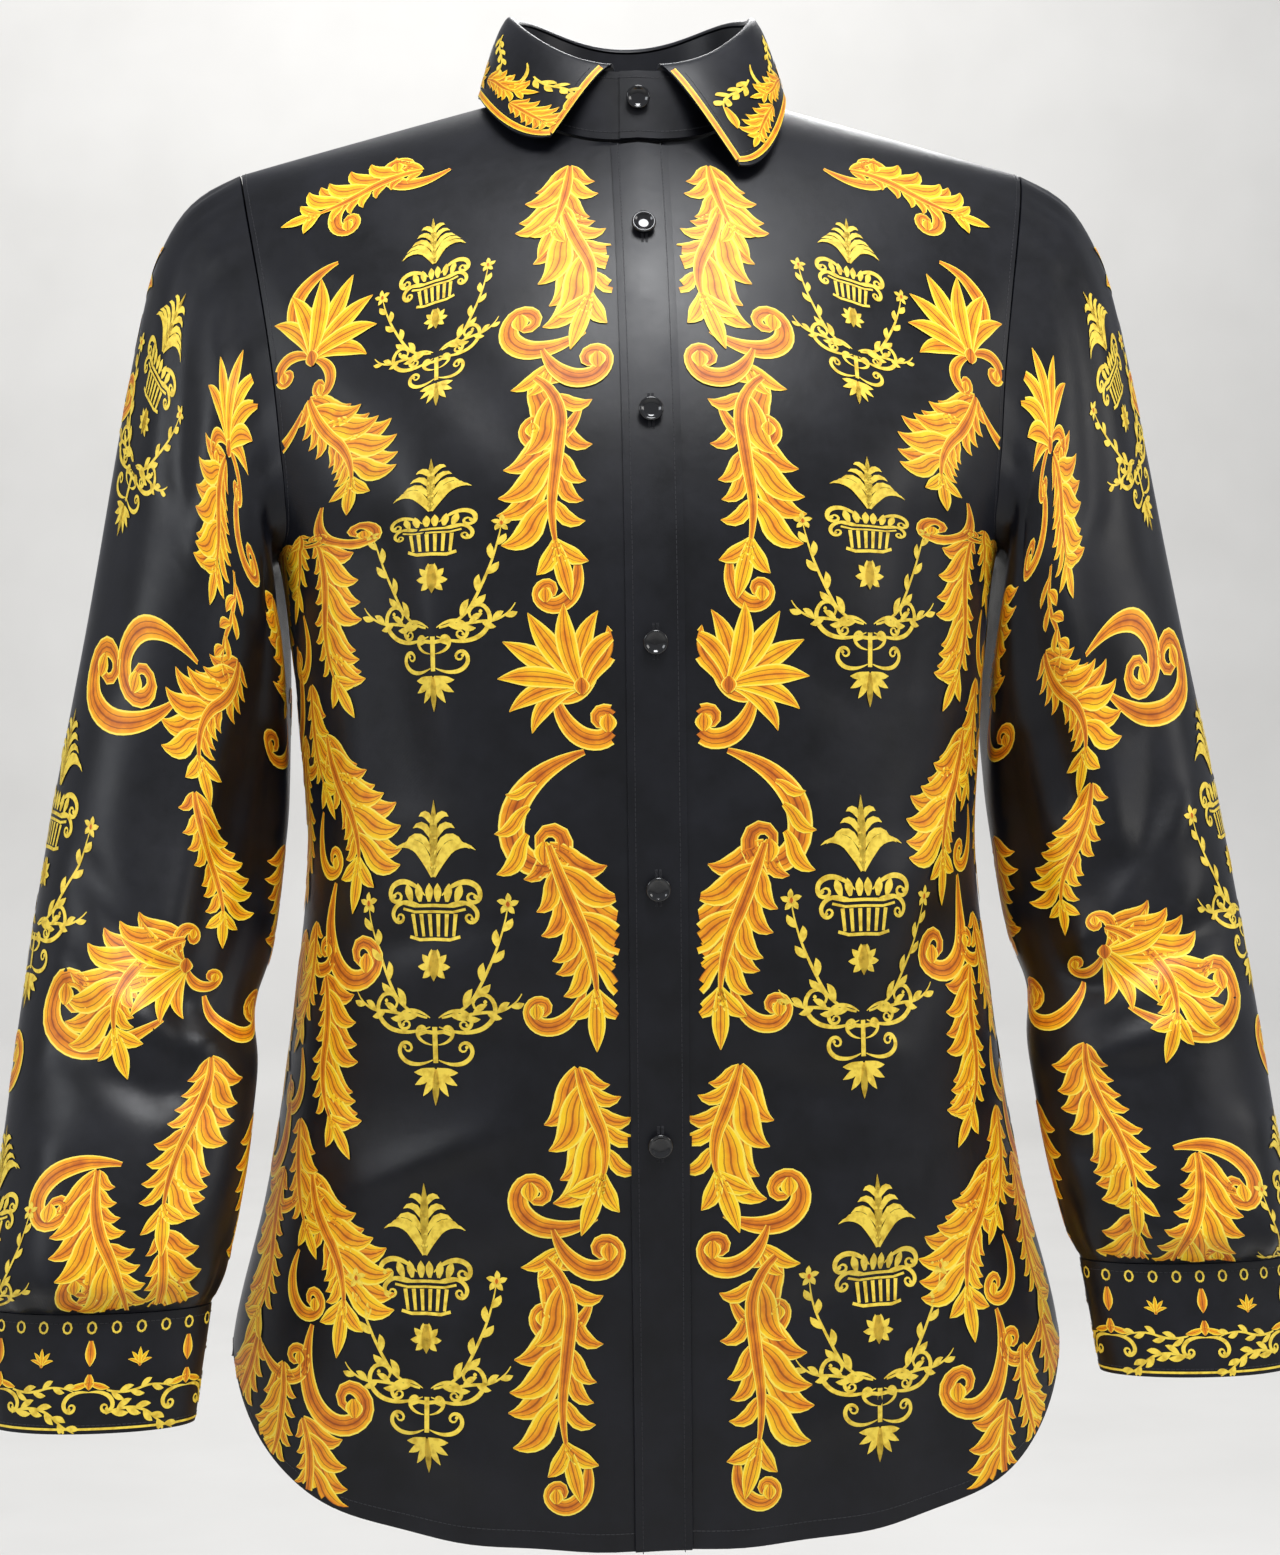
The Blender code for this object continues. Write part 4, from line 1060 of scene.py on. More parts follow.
def printed(name, sheet, chart, slot, panel, thick=WALL):
    """Lays the strokes of a sheet on a panel as one piece."""
    x0, found, _ = chart
    verts, faces, inks_used, maps, tones = [], [], [], [], []
    across = np.linspace(-1, 1, 5)  # each stroke is a ribbon of four strips
    for points, widths, ink, tone, layer in sheet.strokes:
        run = np.gradient(points, axis=0)
        run /= np.maximum(np.linalg.norm(run, axis=1, keepdims=True), 1e-9)
        normal = np.stack([run[:, 1], -run[:, 0]], axis=1)
        place = points[:, None, :] + normal[:, None, :] * (widths[:, None] / 2 * across)[:, :, None]
        u, v = (place[:, :, 0] - x0) / STEP, place[:, :, 1] / STEP
        inside = ((u >= 0) & (v >= 0) & (u < found.shape[1] - 1.01) & (v < found.shape[0] - 1.01))
        ui = np.clip(u.astype(int), 0, found.shape[1] - 2)
        vi = np.clip(v.astype(int), 0, found.shape[0] - 2)
        fu, fv = (u - ui)[:, :, None], (v - vi)[:, :, None]
        near = ((found[vi, ui] * (1 - fu) + found[vi, ui + 1] * fu) * (1 - fv)
                + (found[vi + 1, ui] * (1 - fu) + found[vi + 1, ui + 1] * fu) * fv)
        good = inside & (near[:, :, 6] > 0.5) & ~np.isnan(near[:, :, 0])
        if good.sum() < 6:
            continue
        lift = thick / 2 + INK_LIFT + LAYER_LIFT * layer
        spots = near[:, :, :3] + near[:, :, 3:6] * lift
        first = len(verts)
        long = np.concatenate([[0], np.cumsum(np.linalg.norm(np.diff(points, axis=0), axis=1))])
        verts.extend(np.nan_to_num(spots).reshape(-1, 3))
        maps.extend((long[i], (across[j] + 1) / 2) for i in range(len(points)) for j in range(5))
        tones.extend([tone] * (len(points) * 5))
        for i in range(len(points) - 1):
            for j in range(4):
                if good[i, j] and good[i, j + 1] and good[i + 1, j] and good[i + 1, j + 1]:
                    a = first + i * 5 + j
                    faces.append((a, a + 1, a + 6, a + 5))
                    inks_used.append(ink)
    used = np.unique(np.array(faces))
    slots = np.zeros(len(verts), int)
    slots[used] = range(len(used))
    faces = slots[np.array(faces)]
    verts, maps, tones = np.array(verts)[used], np.array(maps)[used], np.array(tones)[used]
    mesh = bpy.data.meshes.new(name)
    mesh.from_pydata(verts.tolist(), [], faces.tolist())
    for ink in inks:
        mesh.materials.append(ink)
    mesh.polygons.foreach_set("material_index", inks_used)
    stroke_maps(mesh, maps, tones)
    piece = bpy.data.objects.new(name, mesh)
    bpy.context.scene.collection.objects.link(piece)
    face = np.array([verts[f[:3]] for f in faces])
    facing = np.cross(face[:, 1] - face[:, 0], face[:, 2] - face[:, 1]).sum(axis=0)
    want = face[:, 0].mean(axis=0) - panel
    if facing @ want < 0:
        mesh.flip_normals()
    mesh.shade_smooth()
    return belongs(piece, slot)


CHART_COLUMNS = 60
BODY_REACH, SLEEVE_REACH, LEAF_REACH = (0, 330), (-172, 172), (-240, 240)  # mm across, as drawn
CUFF_REACH, CUFF_MIDDLE = (-118, 210), 46  # and the column of the cuff that is drawn as 0


def body_chart(face, side, rows, allow):
    """The form of a half body, level at the hem as it was cut, and where ink may lie."""
    shares = np.linspace(0, 1, CHART_COLUMNS)
    grid, free = [], []
    for t in rows:
        end = section_end(face, t)[1]
        grid.append([tuple(body_form(face, t, end * f, side, False)) for f in shares])
        last = row_of(face, HEM[face])
        hem = [row_height(face, last, math.sin(math.pi / 2 * f) ** (2 / SQUARENESS)) for f in shares]
        free.append([float(allow(t, abs(p[0]), f) and p[2] > h + 0.0015)
                     for p, f, h in zip(grid[-1], shares, hem)])
    points = np.array(grid)
    out = outward(points, body_centre(points))
    return lattice(points, out, 0, BODY_REACH, np.array(free))


def at_height(chart, face, rows, z):
    """How far down the cut centre line a height lies, in mm."""
    return float(np.interp(-z, [-centre_height(face, t) for t in rows], chart[2]))


def body_rows(last):
    """Close rows from the ridge down to past the hem."""
    return np.concatenate([np.linspace(0.002, UNDERARM_ROW, 90),
                           np.linspace(UNDERARM_ROW, last, 150)[1:]])


def on_front_panel(t, x, f):
    """Whether a place, by its row, distance and share of the row, is free for ink."""
    return f < NEAR_SEAM and x > max(neck_edge(FRONT, t) + 0.0015, PLACKET_CLEAR)


NEAR_SEAM = 0.990  # the share of a row out to which ink runs
PLACKET_CLEAR = 0.0172  # the print starts here, just past the placket's edge
front_t = body_rows(2.19)
for word, side in SIDES:
    chart = body_chart(FRONT, side, front_t, on_front_panel)
    s = Sheet()
    top = at_height(chart, FRONT, front_t, -0.052)
    s.acanthus(38, top - 12, 4, 44, 20, 26, 4, 1, 0.8)
    border_first(s, top)
    border_second(s, top + 236)
    border_first(s, top + 470)
    for x, y, tall in ((114, 4, 118), (116, 156, 150), (110, 352, 160), (116, 552, 152)):
        s.urn(x + (8 if side < 0 and y > 300 else 0), top + y, tall)
    s.fan(186, top + 62, 215, 46, 7, 130, 0.45)
    s.scroll(168, top + 14, 84, 80, -1, 9.0)
    side_sprays(s, top, 40)
    s.acanthus(120, top - 34, 96, 66, (-30, 20), 24, 6, 1, 0.5, 0.5)
    s.scroll(104, top - 30, 60, 76, 1, 9.0)
    s.scroll(150, top - 30, 80, 60, -1, 8.0)
    printed(f"print_front_{word}", s, chart, "cloth",
                                 np.array((0, 0.05, -0.4)))

# The back and the yoke carry the same figures, set out again from their own centre line.

back_t = body_rows(2.22)
seam = [YOKE_ROW * (1 - YOKE_TILT * f**1.5) for f in np.linspace(0, 1, CHART_COLUMNS)]
SEAM_CLEAR = 0.012  # how far ink keeps from the yoke seam, in rows


def below_yoke(t, x, f):
    """The same for the back panel."""
    return t > seam[round(f * (CHART_COLUMNS - 1))] + SEAM_CLEAR and f < NEAR_SEAM


def on_yoke(t, x, f):
    """The same for the yoke, clear of the seams and the neck."""
    return (0.01 < t < seam[round(f * (CHART_COLUMNS - 1))] - SEAM_CLEAR and f < NEAR_SEAM
            and x > neck_edge(BACK, t) + 0.002)


back_prints, yoke_prints = [], []
for word, side in SIDES:
    chart = body_chart(BACK, side, back_t, below_yoke)
    top = at_height(chart, BACK, back_t, centre_height(BACK, YOKE_ROW)) + 8
    s = Sheet()
    border_second(s, top - 6)
    border_first(s, top + 226)
    border_second(s, top + 462)
    s.fan(34, top + 706, 122, 36, 7, 120, 0.5, False)
    for y, tall in ((14, 148), (206, 152), (404, 156), (586, 120)):
        s.urn(118, top + y, tall)
    s.fan(190, top + 52, 215, 46, 7, 130, 0.45)
    side_sprays(s, top, 0)
    back_prints.append(printed(f"print_back_{word}", s, chart, "cloth", np.array((0, -0.05, -0.4))))
    chart = body_chart(BACK, side, back_t, on_yoke)
    s = Sheet()
    s.urn(60, 62, 96)
    s.fan(34, 128, 140, 40, 7, 130, 0.45)
    s.acanthus(104, 96, 96, 66, (-30, 20), 26, 6, 1, 0.5, 0.5)
    s.scroll(94, 66, 70, 84, 1, 10.0)
    s.scroll(120, 110, 80, 84, -1, 10.0)
    s.fan(156, 62, 200, 36, 7, 130, 0.5)
    s.acanthus(24, 110, 20, 50, (-30, 20), 22, 5, 1, 0.5, 0.5)
    s.fan(190, 70, 160, 34, 7, 130, 0.5)
    yoke_prints.append(printed(f"print_yoke_{word}", s, chart, "cloth", np.array((0, -0.1, -0.2))))

# The sleeves carry larger scrolls down the front and the back, and an urn on the outer side.

for word, side in SIDES:
    points, out = sleeves[side]
    free = np.ones(points.shape[:2])
    free[:2], free[-2:] = 0, 0
    chart = lattice(points, out, AROUND // 2, SLEEVE_REACH, free)
    s = Sheet()
    for x, y in ((-26, 8), (128, 30)):  # the front of the sleeve, then its back
        s.fan(x + 12, y + 42, 170, 46, 7, 130, 0.45)
        s.scroll(x - 6, y + 44, 20, 84, -1, 9.0)
        s.acanthus(x + 14, y + 50, 24, 62, (-40, 20), 27, 7, 1, 0.6, 0.45)
        s.vine(x - 4, y + 96, -20, 70, (40, -30), 3.0, 7, GOLD, 15)
        s.scroll(x + 18, y + 166, 100, 120, -1, 12.0, tone=0.35)
        s.acanthus(x - 12, y + 142, 2, 86, (36, -60), 28, 8, 1, 0.5, 0.42)
        s.scroll(x + 30, y + 196, 30, 128, 1, 12.5, tone=0.3)
        s.acanthus(x + 10, y + 236, -12, 76, (-24, 30), 25, 7, -1, 0.6, 0.5)
        s.fan(x + 2, y + 334, 60, 44, 7, 120, 0.45)
        s.acanthus(x + 4, y + 320, 70, 74, (-40, -50), 30, 8, 1, 0.5, 0.42)
        s.scroll(x + 10, y + 368, 50, 132, 1, 12.5, tone=0.35)
        s.scroll(x - 12, y + 352, -20, 104, -1, 10.5, tone=0.4)
        s.acanthus(x - 18, y + 392, -6, 90, (30, -30), 29, 8, -1, 0.6, 0.42)
        s.scroll(x + 22, y + 446, 110, 96, -1, 11.0, tone=0.35)
        s.acanthus(x + 34, y + 448, 4, 92, (-34, 20), 30, 8, 1, 0.5, 0.45)
        s.acanthus(x - 4, y + 486, -20, 70, (26, -20), 26, 7, -1, 0.5, 0.5)
        s.scroll(x + 6, y + 520, 60, 80, 1, 9.0)
    for y, tall in ((40, 118), (236, 138), (430, 128)):
        s.urn(74, y, tall)
    for y in (60, 250, 440):
        s.acanthus(-92, y, 10, 78, (-30, 44), 26, 7, 1, 0.7, 0.45)
        s.scroll(-96, y + 84, -20, 96, 1, 10.0)
        s.acanthus(-150, y + 60, 10, 78, (-30, 44), 26, 7, -1, 0.7, 0.45)
    turned = Sheet()
    turned.strokes = [(st[0] * (-1, 1), *st[1:]) for st in s.strokes]
    printed(f"print_sleeve_{word}", turned, chart, "cloth",
                                  np.array((side * 0.27, 0, -0.35)))

# Each cuff has a row of small rings at its top, lozenges, and a leafy vine along its edge.

for word, side in SIDES:
    points, out = cuffs[side]
    chart = lattice(points, out, CUFF_MIDDLE, CUFF_REACH, np.ones(points.shape[:2]))
    s = Sheet()
    for i in range(-8, 17):
        x = 12.5 * i
        around = np.linspace(0, 2 * math.pi, 9)
        s.stroke(np.stack([x + 2.1 * np.sin(around), 6.5 + 2.8 * np.cos(around)], axis=1),
                 np.full(9, 1.1), LEMON)
        if i % 4 == 0:
            s.blade(x, 13, 0, 13, 0, 5.5, 0.4, 1)
            s.blade(x, 30, 0, 8, 0, 5.0, 0.5, 1)
            for hand in (1, -1):
                s.scroll(x, 39, hand * 100, 30, -hand, 2.2, LEMON)
                s.blade(x, 34, hand * 62, 11, hand * 20, 3.4, 0.7, 1)
        elif i % 2 == 0:
            s.vine(x - 16, 50, 118, 40, (-30, -44, 20), 1.5, 8, LEMON, 9)
            s.vine(x - 16, 38, 70, 36, (40, -50), 1.3, 6, LEMON, 8)
            s.fan(x, 26, 180, 9, 5, 110, 0.6, False)
    s.stroke([(x, 57.5) for x in range(-118, 211, 4)], np.full(83, 1.2), LEMON)
    printed(f"print_cuff_{word}", s, chart, "fused_cloth",
                                points.mean(axis=(0, 1)), STIFF_WALL)

# The leaf has a gold edge all round and a band above it, with sprays towards the points.


def edging(name, lines, wide, ink, slot):
    """A flat ribbon of ink along lines of points, each given with its ways out of the cloth."""
    verts, faces, maps = [], [], []
    for spots, up in lines:
        run = np.gradient(spots, axis=0)
        run /= np.linalg.norm(run, axis=1, keepdims=True)
        first = len(verts)
        side_way = np.cross(up, run)
        for k, (spot, way, lift) in enumerate(zip(spots, side_way, up)):
            for v in (-1, -0.5, 0, 0.5, 1):
                verts.append(spot + way * wide / 2 * v + lift * (STIFF_WALL / 2 + INK_LIFT))
                maps.append((k, (v + 1) / 2))
        for k in range(len(spots) - 1):
            faces += [(first + k * 5 + j, first + k * 5 + j + 1, first + k * 5 + j + 6,
                       first + k * 5 + j + 5) for j in range(4)]
    verts, maps = np.array(verts), np.array(maps)
    piece = surface(name, verts, faces, inks[ink])
    stroke_maps(piece.data, maps, np.full(len(verts), 0.55))
    return belongs(piece, slot)


leaf_rim = (np.s_[-2, 1:-1], np.s_[14:-1, 1], np.s_[14:-1, -2])  # its lower edge, then its fronts
leaf_edging = edging("print_leaf_edge", [(leaf_points[run], leaf_out[run]) for run in leaf_rim],
                     EDGE_WIDE, GOLD, "fused_cloth")
chart = lattice(leaf_points, leaf_out, 75, LEAF_REACH, np.ones(leaf_points.shape[:2]))
s = Sheet()
for hand in (1, -1):
    s.acanthus(hand * 34, 50, hand * 84, 44, (24 * hand, -30 * hand), 15, 6, hand, 0.6, 0.5)
    s.scroll(hand * 24, 28, hand * 50, 44, hand, 5.0)
    s.vine(hand * 14, 20, hand * 70, 44, (-30 * hand, 40 * hand), 1.5, 7, LEMON, 8)
    s.vine(hand * 70, 18, hand * 60, 40, (30 * hand, -50 * hand), 1.5, 7, LEMON, 8)
    s.scroll(hand * 84, 50, hand * 100, 40, hand, 5.0)
    s.acanthus(hand * 104, 52, hand * 80, 36, (20 * hand, -30 * hand), 15, 6, hand, 0.7, 0.5)
    s.scroll(hand * 112, 24, hand * 50, 44, -hand, 3.0, LEMON)
    s.vine(hand * 128, 16, hand * 30, 40, (40 * hand, -60 * hand), 1.6, 8, LEMON, 9)
    s.acanthus(hand * 148, 50, hand * 120, 32, (-30 * hand, 30 * hand), 15, 6, hand, 0.7, 0.5)
    s.scroll(hand * 164, 22, hand * 60, 42, -hand, 2.6, LEMON)
    s.vine(hand * 176, 28, hand * 70, 34, (30 * hand, -60 * hand), 1.6, 7, LEMON, 9)
    s.acanthus(hand * 180, 52, hand * 96, 30, -26 * hand, 13, 5, hand, 0.7, 0.5)
    s.blade(hand * 206, 34, hand * 20, 15, 20 * hand, 5, 0.6, 1)
s.fan(0, 50, 180, 22, 7, 130, 0.5, False)
leaf_print = printed("print_leaf", s, chart, "fused_cloth", np.array((0, 0, 0.0)), STIFF_WALL)

# ------------------------------------------------------------------ buttons
# Polished black polyester, turned with a raised rim and a dished middle, and sewn on a thread
# shank from behind. They hang a little, so their faces catch the light from above.

BUTTON_HEIGHTS = (-0.086, -0.189, -0.309, -0.436, -0.569)
COLLAR_BUTTON_RISE = 0.0235
BUTTON_RADIUS = 0.0065
BUTTON_THICK = 0.0034
BUTTON_HANG = 0.14  # how far it leans down, as a slope
BUTTON_SIDES = 40
SHANK = (0.0018, 0.0016)  # radius, length

button_black, button_nodes, button_links, button_shader = shader_tree("polished black")
rub = noise(button_nodes, button_links, 900.0, 4.0)
button_links.new(ramp(button_nodes, button_links, rub, (0.3, (0.05,) * 3), (0.8, (0.16,) * 3)),
                 button_shader.inputs["Roughness"])
button_shader.inputs["Base Color"].default_value = (0.004, 0.004, 0.005, 1)
button_shader.inputs["Specular IOR Level"].default_value = 0.7


def turned_button(name, seat, out):
    """A lathe-turned button: radius and height along its profile, from shank to dish."""
    r, top = BUTTON_RADIUS, SHANK[1] + BUTTON_THICK
    profile = ((0.0, 0), (SHANK[0], 0), (SHANK[0] * 0.8, SHANK[1]), (r * 0.78, SHANK[1] + 0.0002),
               (r * 0.97, SHANK[1] + 0.0010), (r, SHANK[1] + 0.0017), (r * 0.985, top - 0.0006),
               (r * 0.93, top - 0.0001), (r * 0.85, top), (r * 0.76, top - 0.0003),
               (r * 0.66, top - 0.0010), (r * 0.50, top - 0.0014), (r * 0.22, top - 0.0015),
               (0.0, top - 0.0015))
    turn = out.to_track_quat("Z", "Y").to_matrix()
    n, rings = BUTTON_SIDES, len(profile) - 2
    around = [2 * math.pi * i / n for i in range(n)]
    verts = [seat + turn @ Vector((radius * math.cos(a), radius * math.sin(a), high))
             for radius, high in profile[1:-1] for a in around]
    verts += [seat, seat + turn @ Vector((0, 0, profile[-1][1]))]
    faces = [(k * n + i, k * n + (i + 1) % n, (k + 1) * n + (i + 1) % n, (k + 1) * n + i)
             for k in range(rings - 1) for i in range(n)]
    faces += [(rings * n, (i + 1) % n, i) for i in range(n)]
    faces += [(rings * n + 1, (rings - 1) * n + i, (rings - 1) * n + (i + 1) % n) for i in range(n)]
    centre = np.array(seat)
    piece = surface(name, np.array([tuple(v) for v in verts]) - centre, faces, button_black)
    piece.data.transform(Matrix.Translation(seat))
    return belongs(piece, "button", "button_" + name.split("_", 2)[2])


def leaned(out):
    """The way a button faces when it hangs from its shank."""
    return (out + Vector((0, 0, -BUTTON_HANG))).normalized()


for number, z in enumerate(BUTTON_HEIGHTS, 1):
    t = row_of(FRONT, z)
    k = int(np.argmin([abs(t - row) for row in band_rows]))
    out = Vector(band_out[k, 4])
    turned_button(f"turned_button_{number}", Vector(on_front(t, 0.0)) + out * (2 * WALL + 2 * GAP),
                  leaned(out))
foot, out = stand_form(0, COLLAR_BUTTON_RISE / STAND_DEEP[0], STIFF_WALL + 2 * GAP)
turned_button("turned_button_collar", foot + out * (STIFF_WALL / 2 + GAP), leaned(out))
for word, side in SIDES:
    point, out = cuff_form(side, 0.5, CUFF_START + 2 * math.pi + CUFF_LAP - 0.20,
                           STIFF_WALL * 1.5 + 4 * GAP)
    turned_button(f"turned_button_cuff_{word}", Vector((side * point.x, point.y, point.z)),
                  Vector((side * out.x, out.y, out.z)))

# ------------------------------------------------------------------ stitching
# Black lock-stitch, about four to the centimetre, along the placket, collar, cuffs, yoke, armholes
# and rolled hem, and worked crosswise round the buttonholes. A node tree sets the stitches on
# lines that lie on the cloth.

thread_material, thread_nodes, thread_links, thread_shader = shader_tree("black thread")
twist = noise(thread_nodes, thread_links, 1400.0, 2.0)
thread_links.new(ramp(thread_nodes, thread_links, twist, (0.3, (0.006, 0.006, 0.008)),
                      (0.7, (0.030, 0.030, 0.036))), thread_shader.inputs["Base Color"])
thread_shader.inputs["Roughness"].default_value = 0.55


def stitch_tree():
    """Nodes that set one stitch at every step of a line: named inputs, then plain mesh."""
    tree = bpy.data.node_groups.new("stitch run", "GeometryNodeTree")
    face = tree.interface
    face.new_socket("Line", in_out="INPUT", socket_type="NodeSocketGeometry")
    for label, value in (("Pitch", 0.0026), ("Long", 0.0019), ("Thick", 0.00045), ("Turn", 0.0)):
        made = face.new_socket(label, in_out="INPUT", socket_type="NodeSocketFloat")
        made.default_value = value
    face.new_socket("Stitches", in_out="OUTPUT", socket_type="NodeSocketGeometry")

    def add(kind, **settings):
        made = tree.nodes.new(kind)
        for key, value in settings.items():
            setattr(made, key, value)
        return made

    given, result = add("NodeGroupInput"), add("NodeGroupOutput")
    curve, spaced = add("GeometryNodeMeshToCurve"), add("GeometryNodeResampleCurve", mode="LENGTH")
    shape = add("GeometryNodeMeshCylinder", fill_type="NGON")
    shape.inputs["Vertices"].default_value = 6
    set_on, real = add("GeometryNodeInstanceOnPoints"), add("GeometryNodeRealizeInstances")
    along_it, aim = add("GeometryNodeInputTangent"), add("FunctionNodeAlignRotationToVector")
    tilt, turn = add("FunctionNodeRotateRotation", rotation_space="LOCAL"), add("ShaderNodeCombineXYZ")
    as_turn = add("FunctionNodeEulerToRotation")
    aim.axis = "Z"
    radius = add("ShaderNodeMath", operation="MULTIPLY")
    radius.inputs[1].default_value = 0.5
    finish = add("GeometryNodeSetMaterial")
    finish.inputs["Material"].default_value = thread_material
    for source, out, target, into in (
            (given, "Line", curve, "Mesh"), (curve, "Curve", spaced, "Curve"),
            (given, "Pitch", spaced, "Length"), (spaced, "Curve", set_on, "Points"),
            (given, "Thick", radius, 0), (radius, 0, shape, "Radius"), (given, "Long", shape, "Depth"),
            (shape, "Mesh", set_on, "Instance"), (along_it, "Tangent", aim, "Vector"),
            (given, "Turn", turn, "Y"), (turn, "Vector", as_turn, "Euler"),
            (aim, "Rotation", tilt, "Rotation"), (as_turn, "Rotation", tilt, "Rotate By"),
            (tilt, "Rotation", set_on, "Rotation"), (set_on, "Instances", real, "Geometry"),
            (real, "Geometry", finish, "Geometry"), (finish, "Geometry", result, "Stitches")):
        tree.links.new(source.outputs[out], target.inputs[into])
    return tree


stitches = stitch_tree()
THREAD_LIFT = 0.00005


def stitched(name, lines, slot, pitch=0.0026, long=0.0019, turn=0.0):
    """One piece of stitches along several lines of points, by the tree's named inputs."""
    sizes = {"Pitch": pitch, "Long": long, "Turn": turn}
    verts, edges = [], []
    for line in lines:
        first = len(verts)
        verts += [tuple(p) for p in line]
        edges += [(first + i, first + i + 1) for i in range(len(line) - 1)]
    mesh = bpy.data.meshes.new(name + " line")
    mesh.from_pydata(verts, edges, [])
    drawn = bpy.data.objects.new(name + " line", mesh)
    bpy.context.scene.collection.objects.link(drawn)
    modifier = drawn.modifiers.new("stitches", "NODES")
    modifier.node_group = stitches
    for item in stitches.interface.items_tree:
        if item.name in sizes:
            modifier[item.identifier] = sizes[item.name]
    drawn.update_tag()
    graph = bpy.context.evaluated_depsgraph_get()
    graph.update()
    plain = bpy.data.meshes.new_from_object(drawn.evaluated_get(graph))
    plain.name = name
    bpy.data.objects.remove(drawn, do_unlink=True)
    piece = bpy.data.objects.new(name, plain)
    bpy.context.scene.collection.objects.link(piece)
    if not plain.materials:
        plain.materials.append(thread_material)
    return belongs(piece, slot)


def seam_line(panel, row=None, column=None, first=0, last=None, thick=WALL):
    """A line on the outer side of a wall, along one row or one column of its grid."""
    lifted = panel[0] + panel[1] * (thick / 2 + THREAD_LIFT)
    return (lifted[row] if column is None else lifted[:, column])[first:last]


stitch_pieces = {"band": stitched("stitches_placket", [
    seam_line((band_points, band_out), column=c) for c in (1, BAND_COLUMNS - 2)], "cloth")}
for word, side in SIDES:
    stitch_pieces[side] = stitched(f"stitches_front_{word}", [
        seam_line(fronts[side], -3), seam_line(fronts[side], column=-2, first=2, last=68)], "cloth")
panel = back_points, back_out
stitch_pieces["back"] = stitched("stitches_back", [
    seam_line(panel, -3), seam_line(panel, column=1, last=33), seam_line(panel, column=-2, last=33)],
    "cloth")
panel = yoke_points, yoke_out
stitch_pieces["yoke"] = stitched("stitches_yoke", [
    seam_line(panel, -3), seam_line(panel, 1, last=HALF_COLUMNS),
    seam_line(panel, 1, first=HALF_COLUMNS)], "cloth")
panel = leaf_points, leaf_out
stitch_pieces["leaf"] = stitched("stitches_leaf", [
    seam_line(panel, -3, first=1, last=-1, thick=STIFF_WALL)]
    + [seam_line(panel, column=c, first=16, last=-2, thick=STIFF_WALL) for c in (3, -4)],
    "fused_cloth")
stitch_pieces["stand"] = stitched("stitches_stand", [
    seam_line((stand_points, stand_out), r, thick=STIFF_WALL) for r in (1, -2)], "fused_cloth")
for word, side in SIDES:
    stitch_pieces["cuff", side] = stitched(f"stitches_cuff_{word}", [
        seam_line(cuffs[side], r, thick=STIFF_WALL) for r in (1, -2)]
        + [seam_line(cuffs[side], column=-2, thick=STIFF_WALL)], "fused_cloth")

HOLE_HALF = 0.0092  # each buttonhole runs this far above and below its button
HOLE_EDGES = (3.72, 4.28)  # columns of the band's grid, just off its middle
holes = []
for z in BUTTON_HEIGHTS:
    for edge in HOLE_EDGES:
        c = int(edge)
        line = []
        for step in np.linspace(-HOLE_HALF, HOLE_HALF, 16):
            t = row_of(FRONT, z + step)
            k = min(max(int(np.searchsorted(band_rows, t)), 1), len(band_rows) - 1)
            f = min(max((t - band_rows[k - 1]) / (band_rows[k] - band_rows[k - 1]), 0), 1)
            low = band_points[k - 1, c] * (1 - (edge - c)) + band_points[k - 1, c + 1] * (edge - c)
            high = band_points[k, c] * (1 - (edge - c)) + band_points[k, c + 1] * (edge - c)
            line.append(low * (1 - f) + high * f + band_out[k, c] * (WALL / 2 + 0.0001))
        holes.append(line)
stitch_pieces["holes"] = stitched("stitches_buttonholes", holes, "cloth", 0.0006, 0.0014, math.pi / 2)
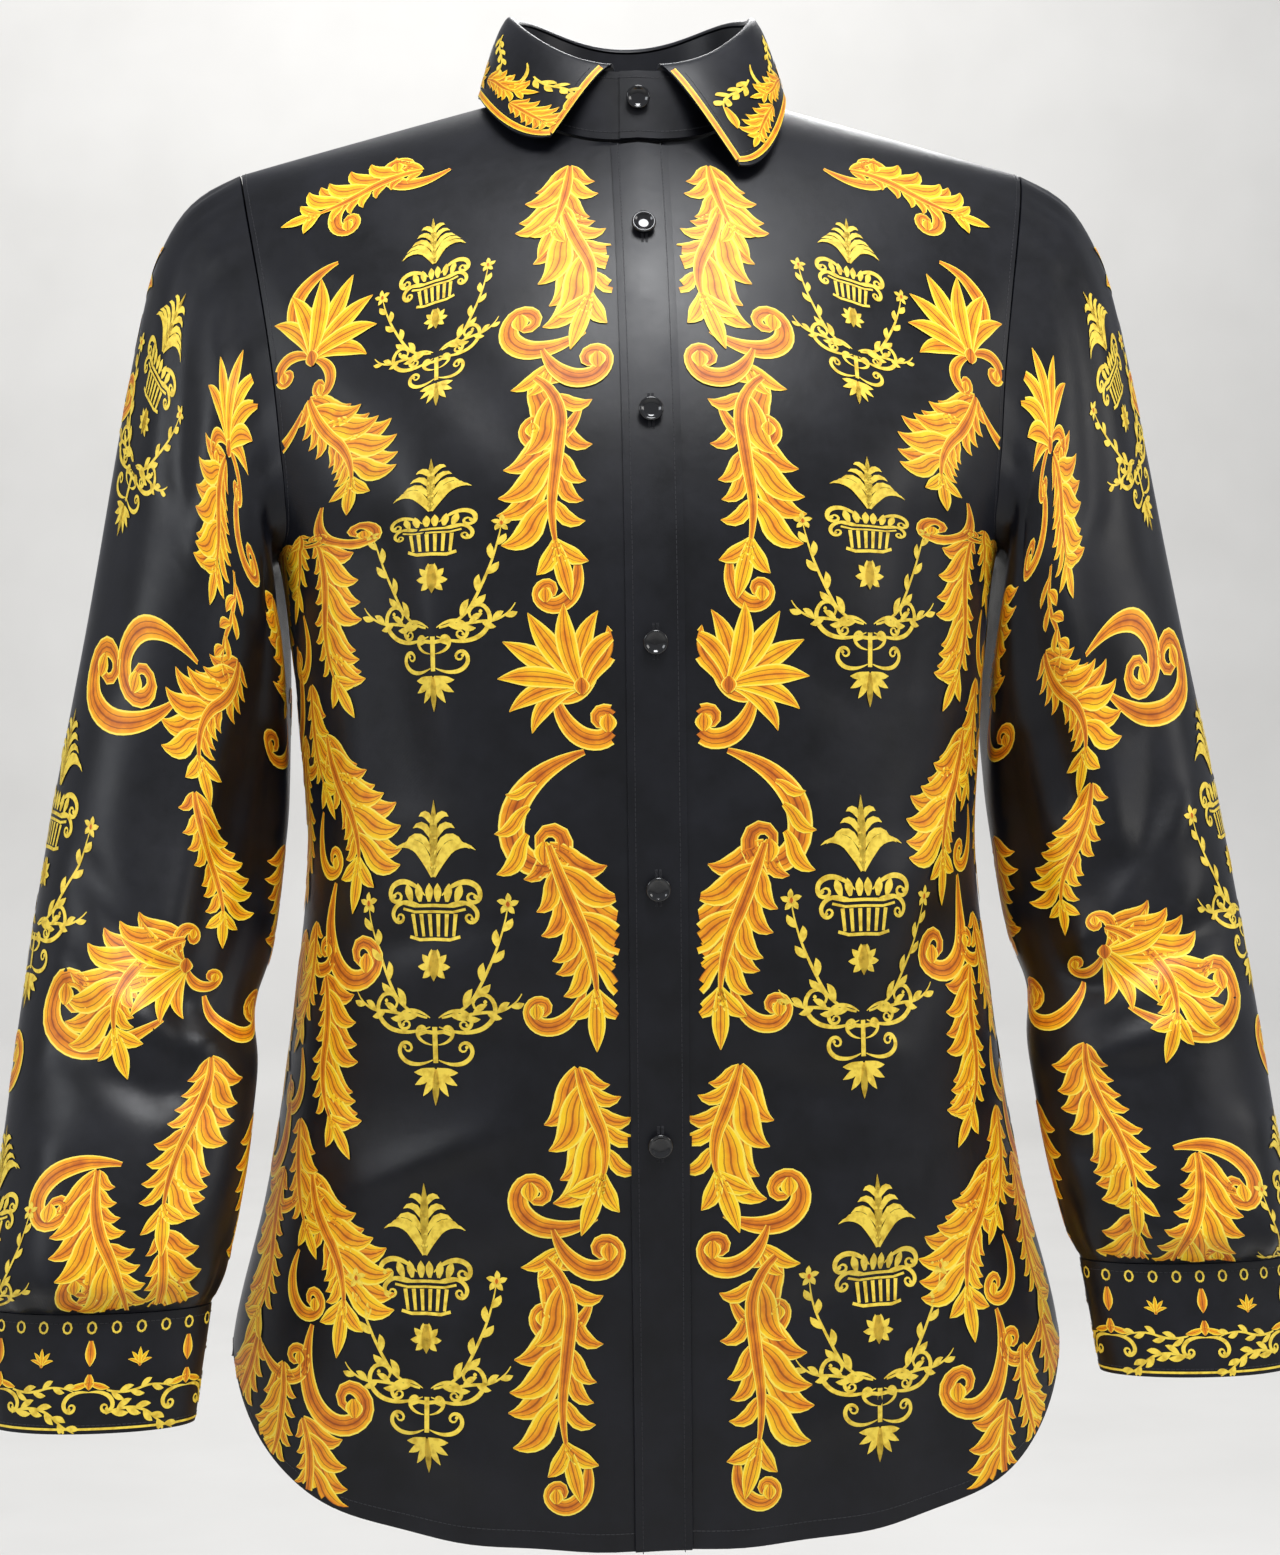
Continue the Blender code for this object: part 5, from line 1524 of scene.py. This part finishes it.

# ------------------------------------------------------------------ studio
# A pale floor that curves up behind, one large soft light high in front, a weak one from each
# side, and a camera at the height of the waist.

sweep = [(x, y, z) for y, z in ((-6.0, -1.25), (5.2, -1.25), (5.9, -1.05), (6.2, -0.5), (6.3, 0.4),
                                (6.3, 7.0)) for x in (-9.0, 9.0)]
floor_material, floor_nodes, floor_links, floor_shader = shader_tree("pale floor")
floor = surface("floor", np.array(sweep), [(i, i + 1, i + 3, i + 2) for i in range(0, 10, 2)],
                floor_material)
floor_links.new(ramp(floor_nodes, floor_links, noise(floor_nodes, floor_links, 3.0, 3.0),
                     (0.3, (0.60, 0.59, 0.57)), (0.7, (0.64, 0.63, 0.61))),
                floor_shader.inputs["Base Color"])
floor_shader.inputs["Roughness"].default_value = 0.8


def light(name, place, target, size, watts, colour):
    """A round soft light at a place, turned to its target."""
    data = bpy.data.lights.new(name, "AREA")
    data.shape, data.size, data.energy, data.color = "DISK", size, watts, colour
    lamp = bpy.data.objects.new(name, data)
    lamp.location = place
    lamp.rotation_euler = (Vector(place) - Vector(target)).to_track_quat("Z", "Y").to_euler()
    bpy.context.scene.collection.objects.link(lamp)


light("main light", (0.2, -1.25, 1.75), (0, 0, -0.15), 1.1, 58, (0.97, 0.98, 1.0))
light("left light", (-2.0, -1.2, 0.5), (0, 0, -0.3), 0.9, 11, (0.93, 0.96, 1.0))
light("right light", (2.1, -1.0, 0.4), (0, 0, -0.3), 0.9, 9, (1.0, 0.98, 0.95))
light("back light", (0.4, 1.8, 1.4), (0, 0, -0.2), 1.0, 26, (1.0, 1.0, 1.0))
light("backdrop light", (0, 3.2, 3.4), (0, 6.2, 0.2), 2.5, 170, (1.0, 1.0, 1.0))
world = bpy.data.worlds.new("studio")
world.use_nodes = True
world.node_tree.nodes["Background"].inputs["Color"].default_value = (0.80, 0.82, 0.86, 1)
world.node_tree.nodes["Background"].inputs["Strength"].default_value = 0.55
bpy.context.scene.world = world
bpy.context.scene.view_settings.view_transform = "Standard"

AZIMUTH, ROLL = math.radians(-3.5), math.radians(-0.7)
WAIST, DISTANCE = -0.379, 1.61
lens = bpy.data.cameras.new("camera")
lens.lens, lens.sensor_width = 66, 36
camera = bpy.data.objects.new("camera", lens)
bpy.context.scene.collection.objects.link(camera)
bpy.context.scene.camera = camera
back_off = Vector((math.sin(AZIMUTH), -math.cos(AZIMUTH), 0))
camera.matrix_world = (Matrix.Translation(Vector((0, 0, WAIST)) + back_off * DISTANCE)
                       @ back_off.to_track_quat("Z", "Y").to_matrix().to_4x4()
                       @ Matrix.Rotation(ROLL, 4, "Z"))
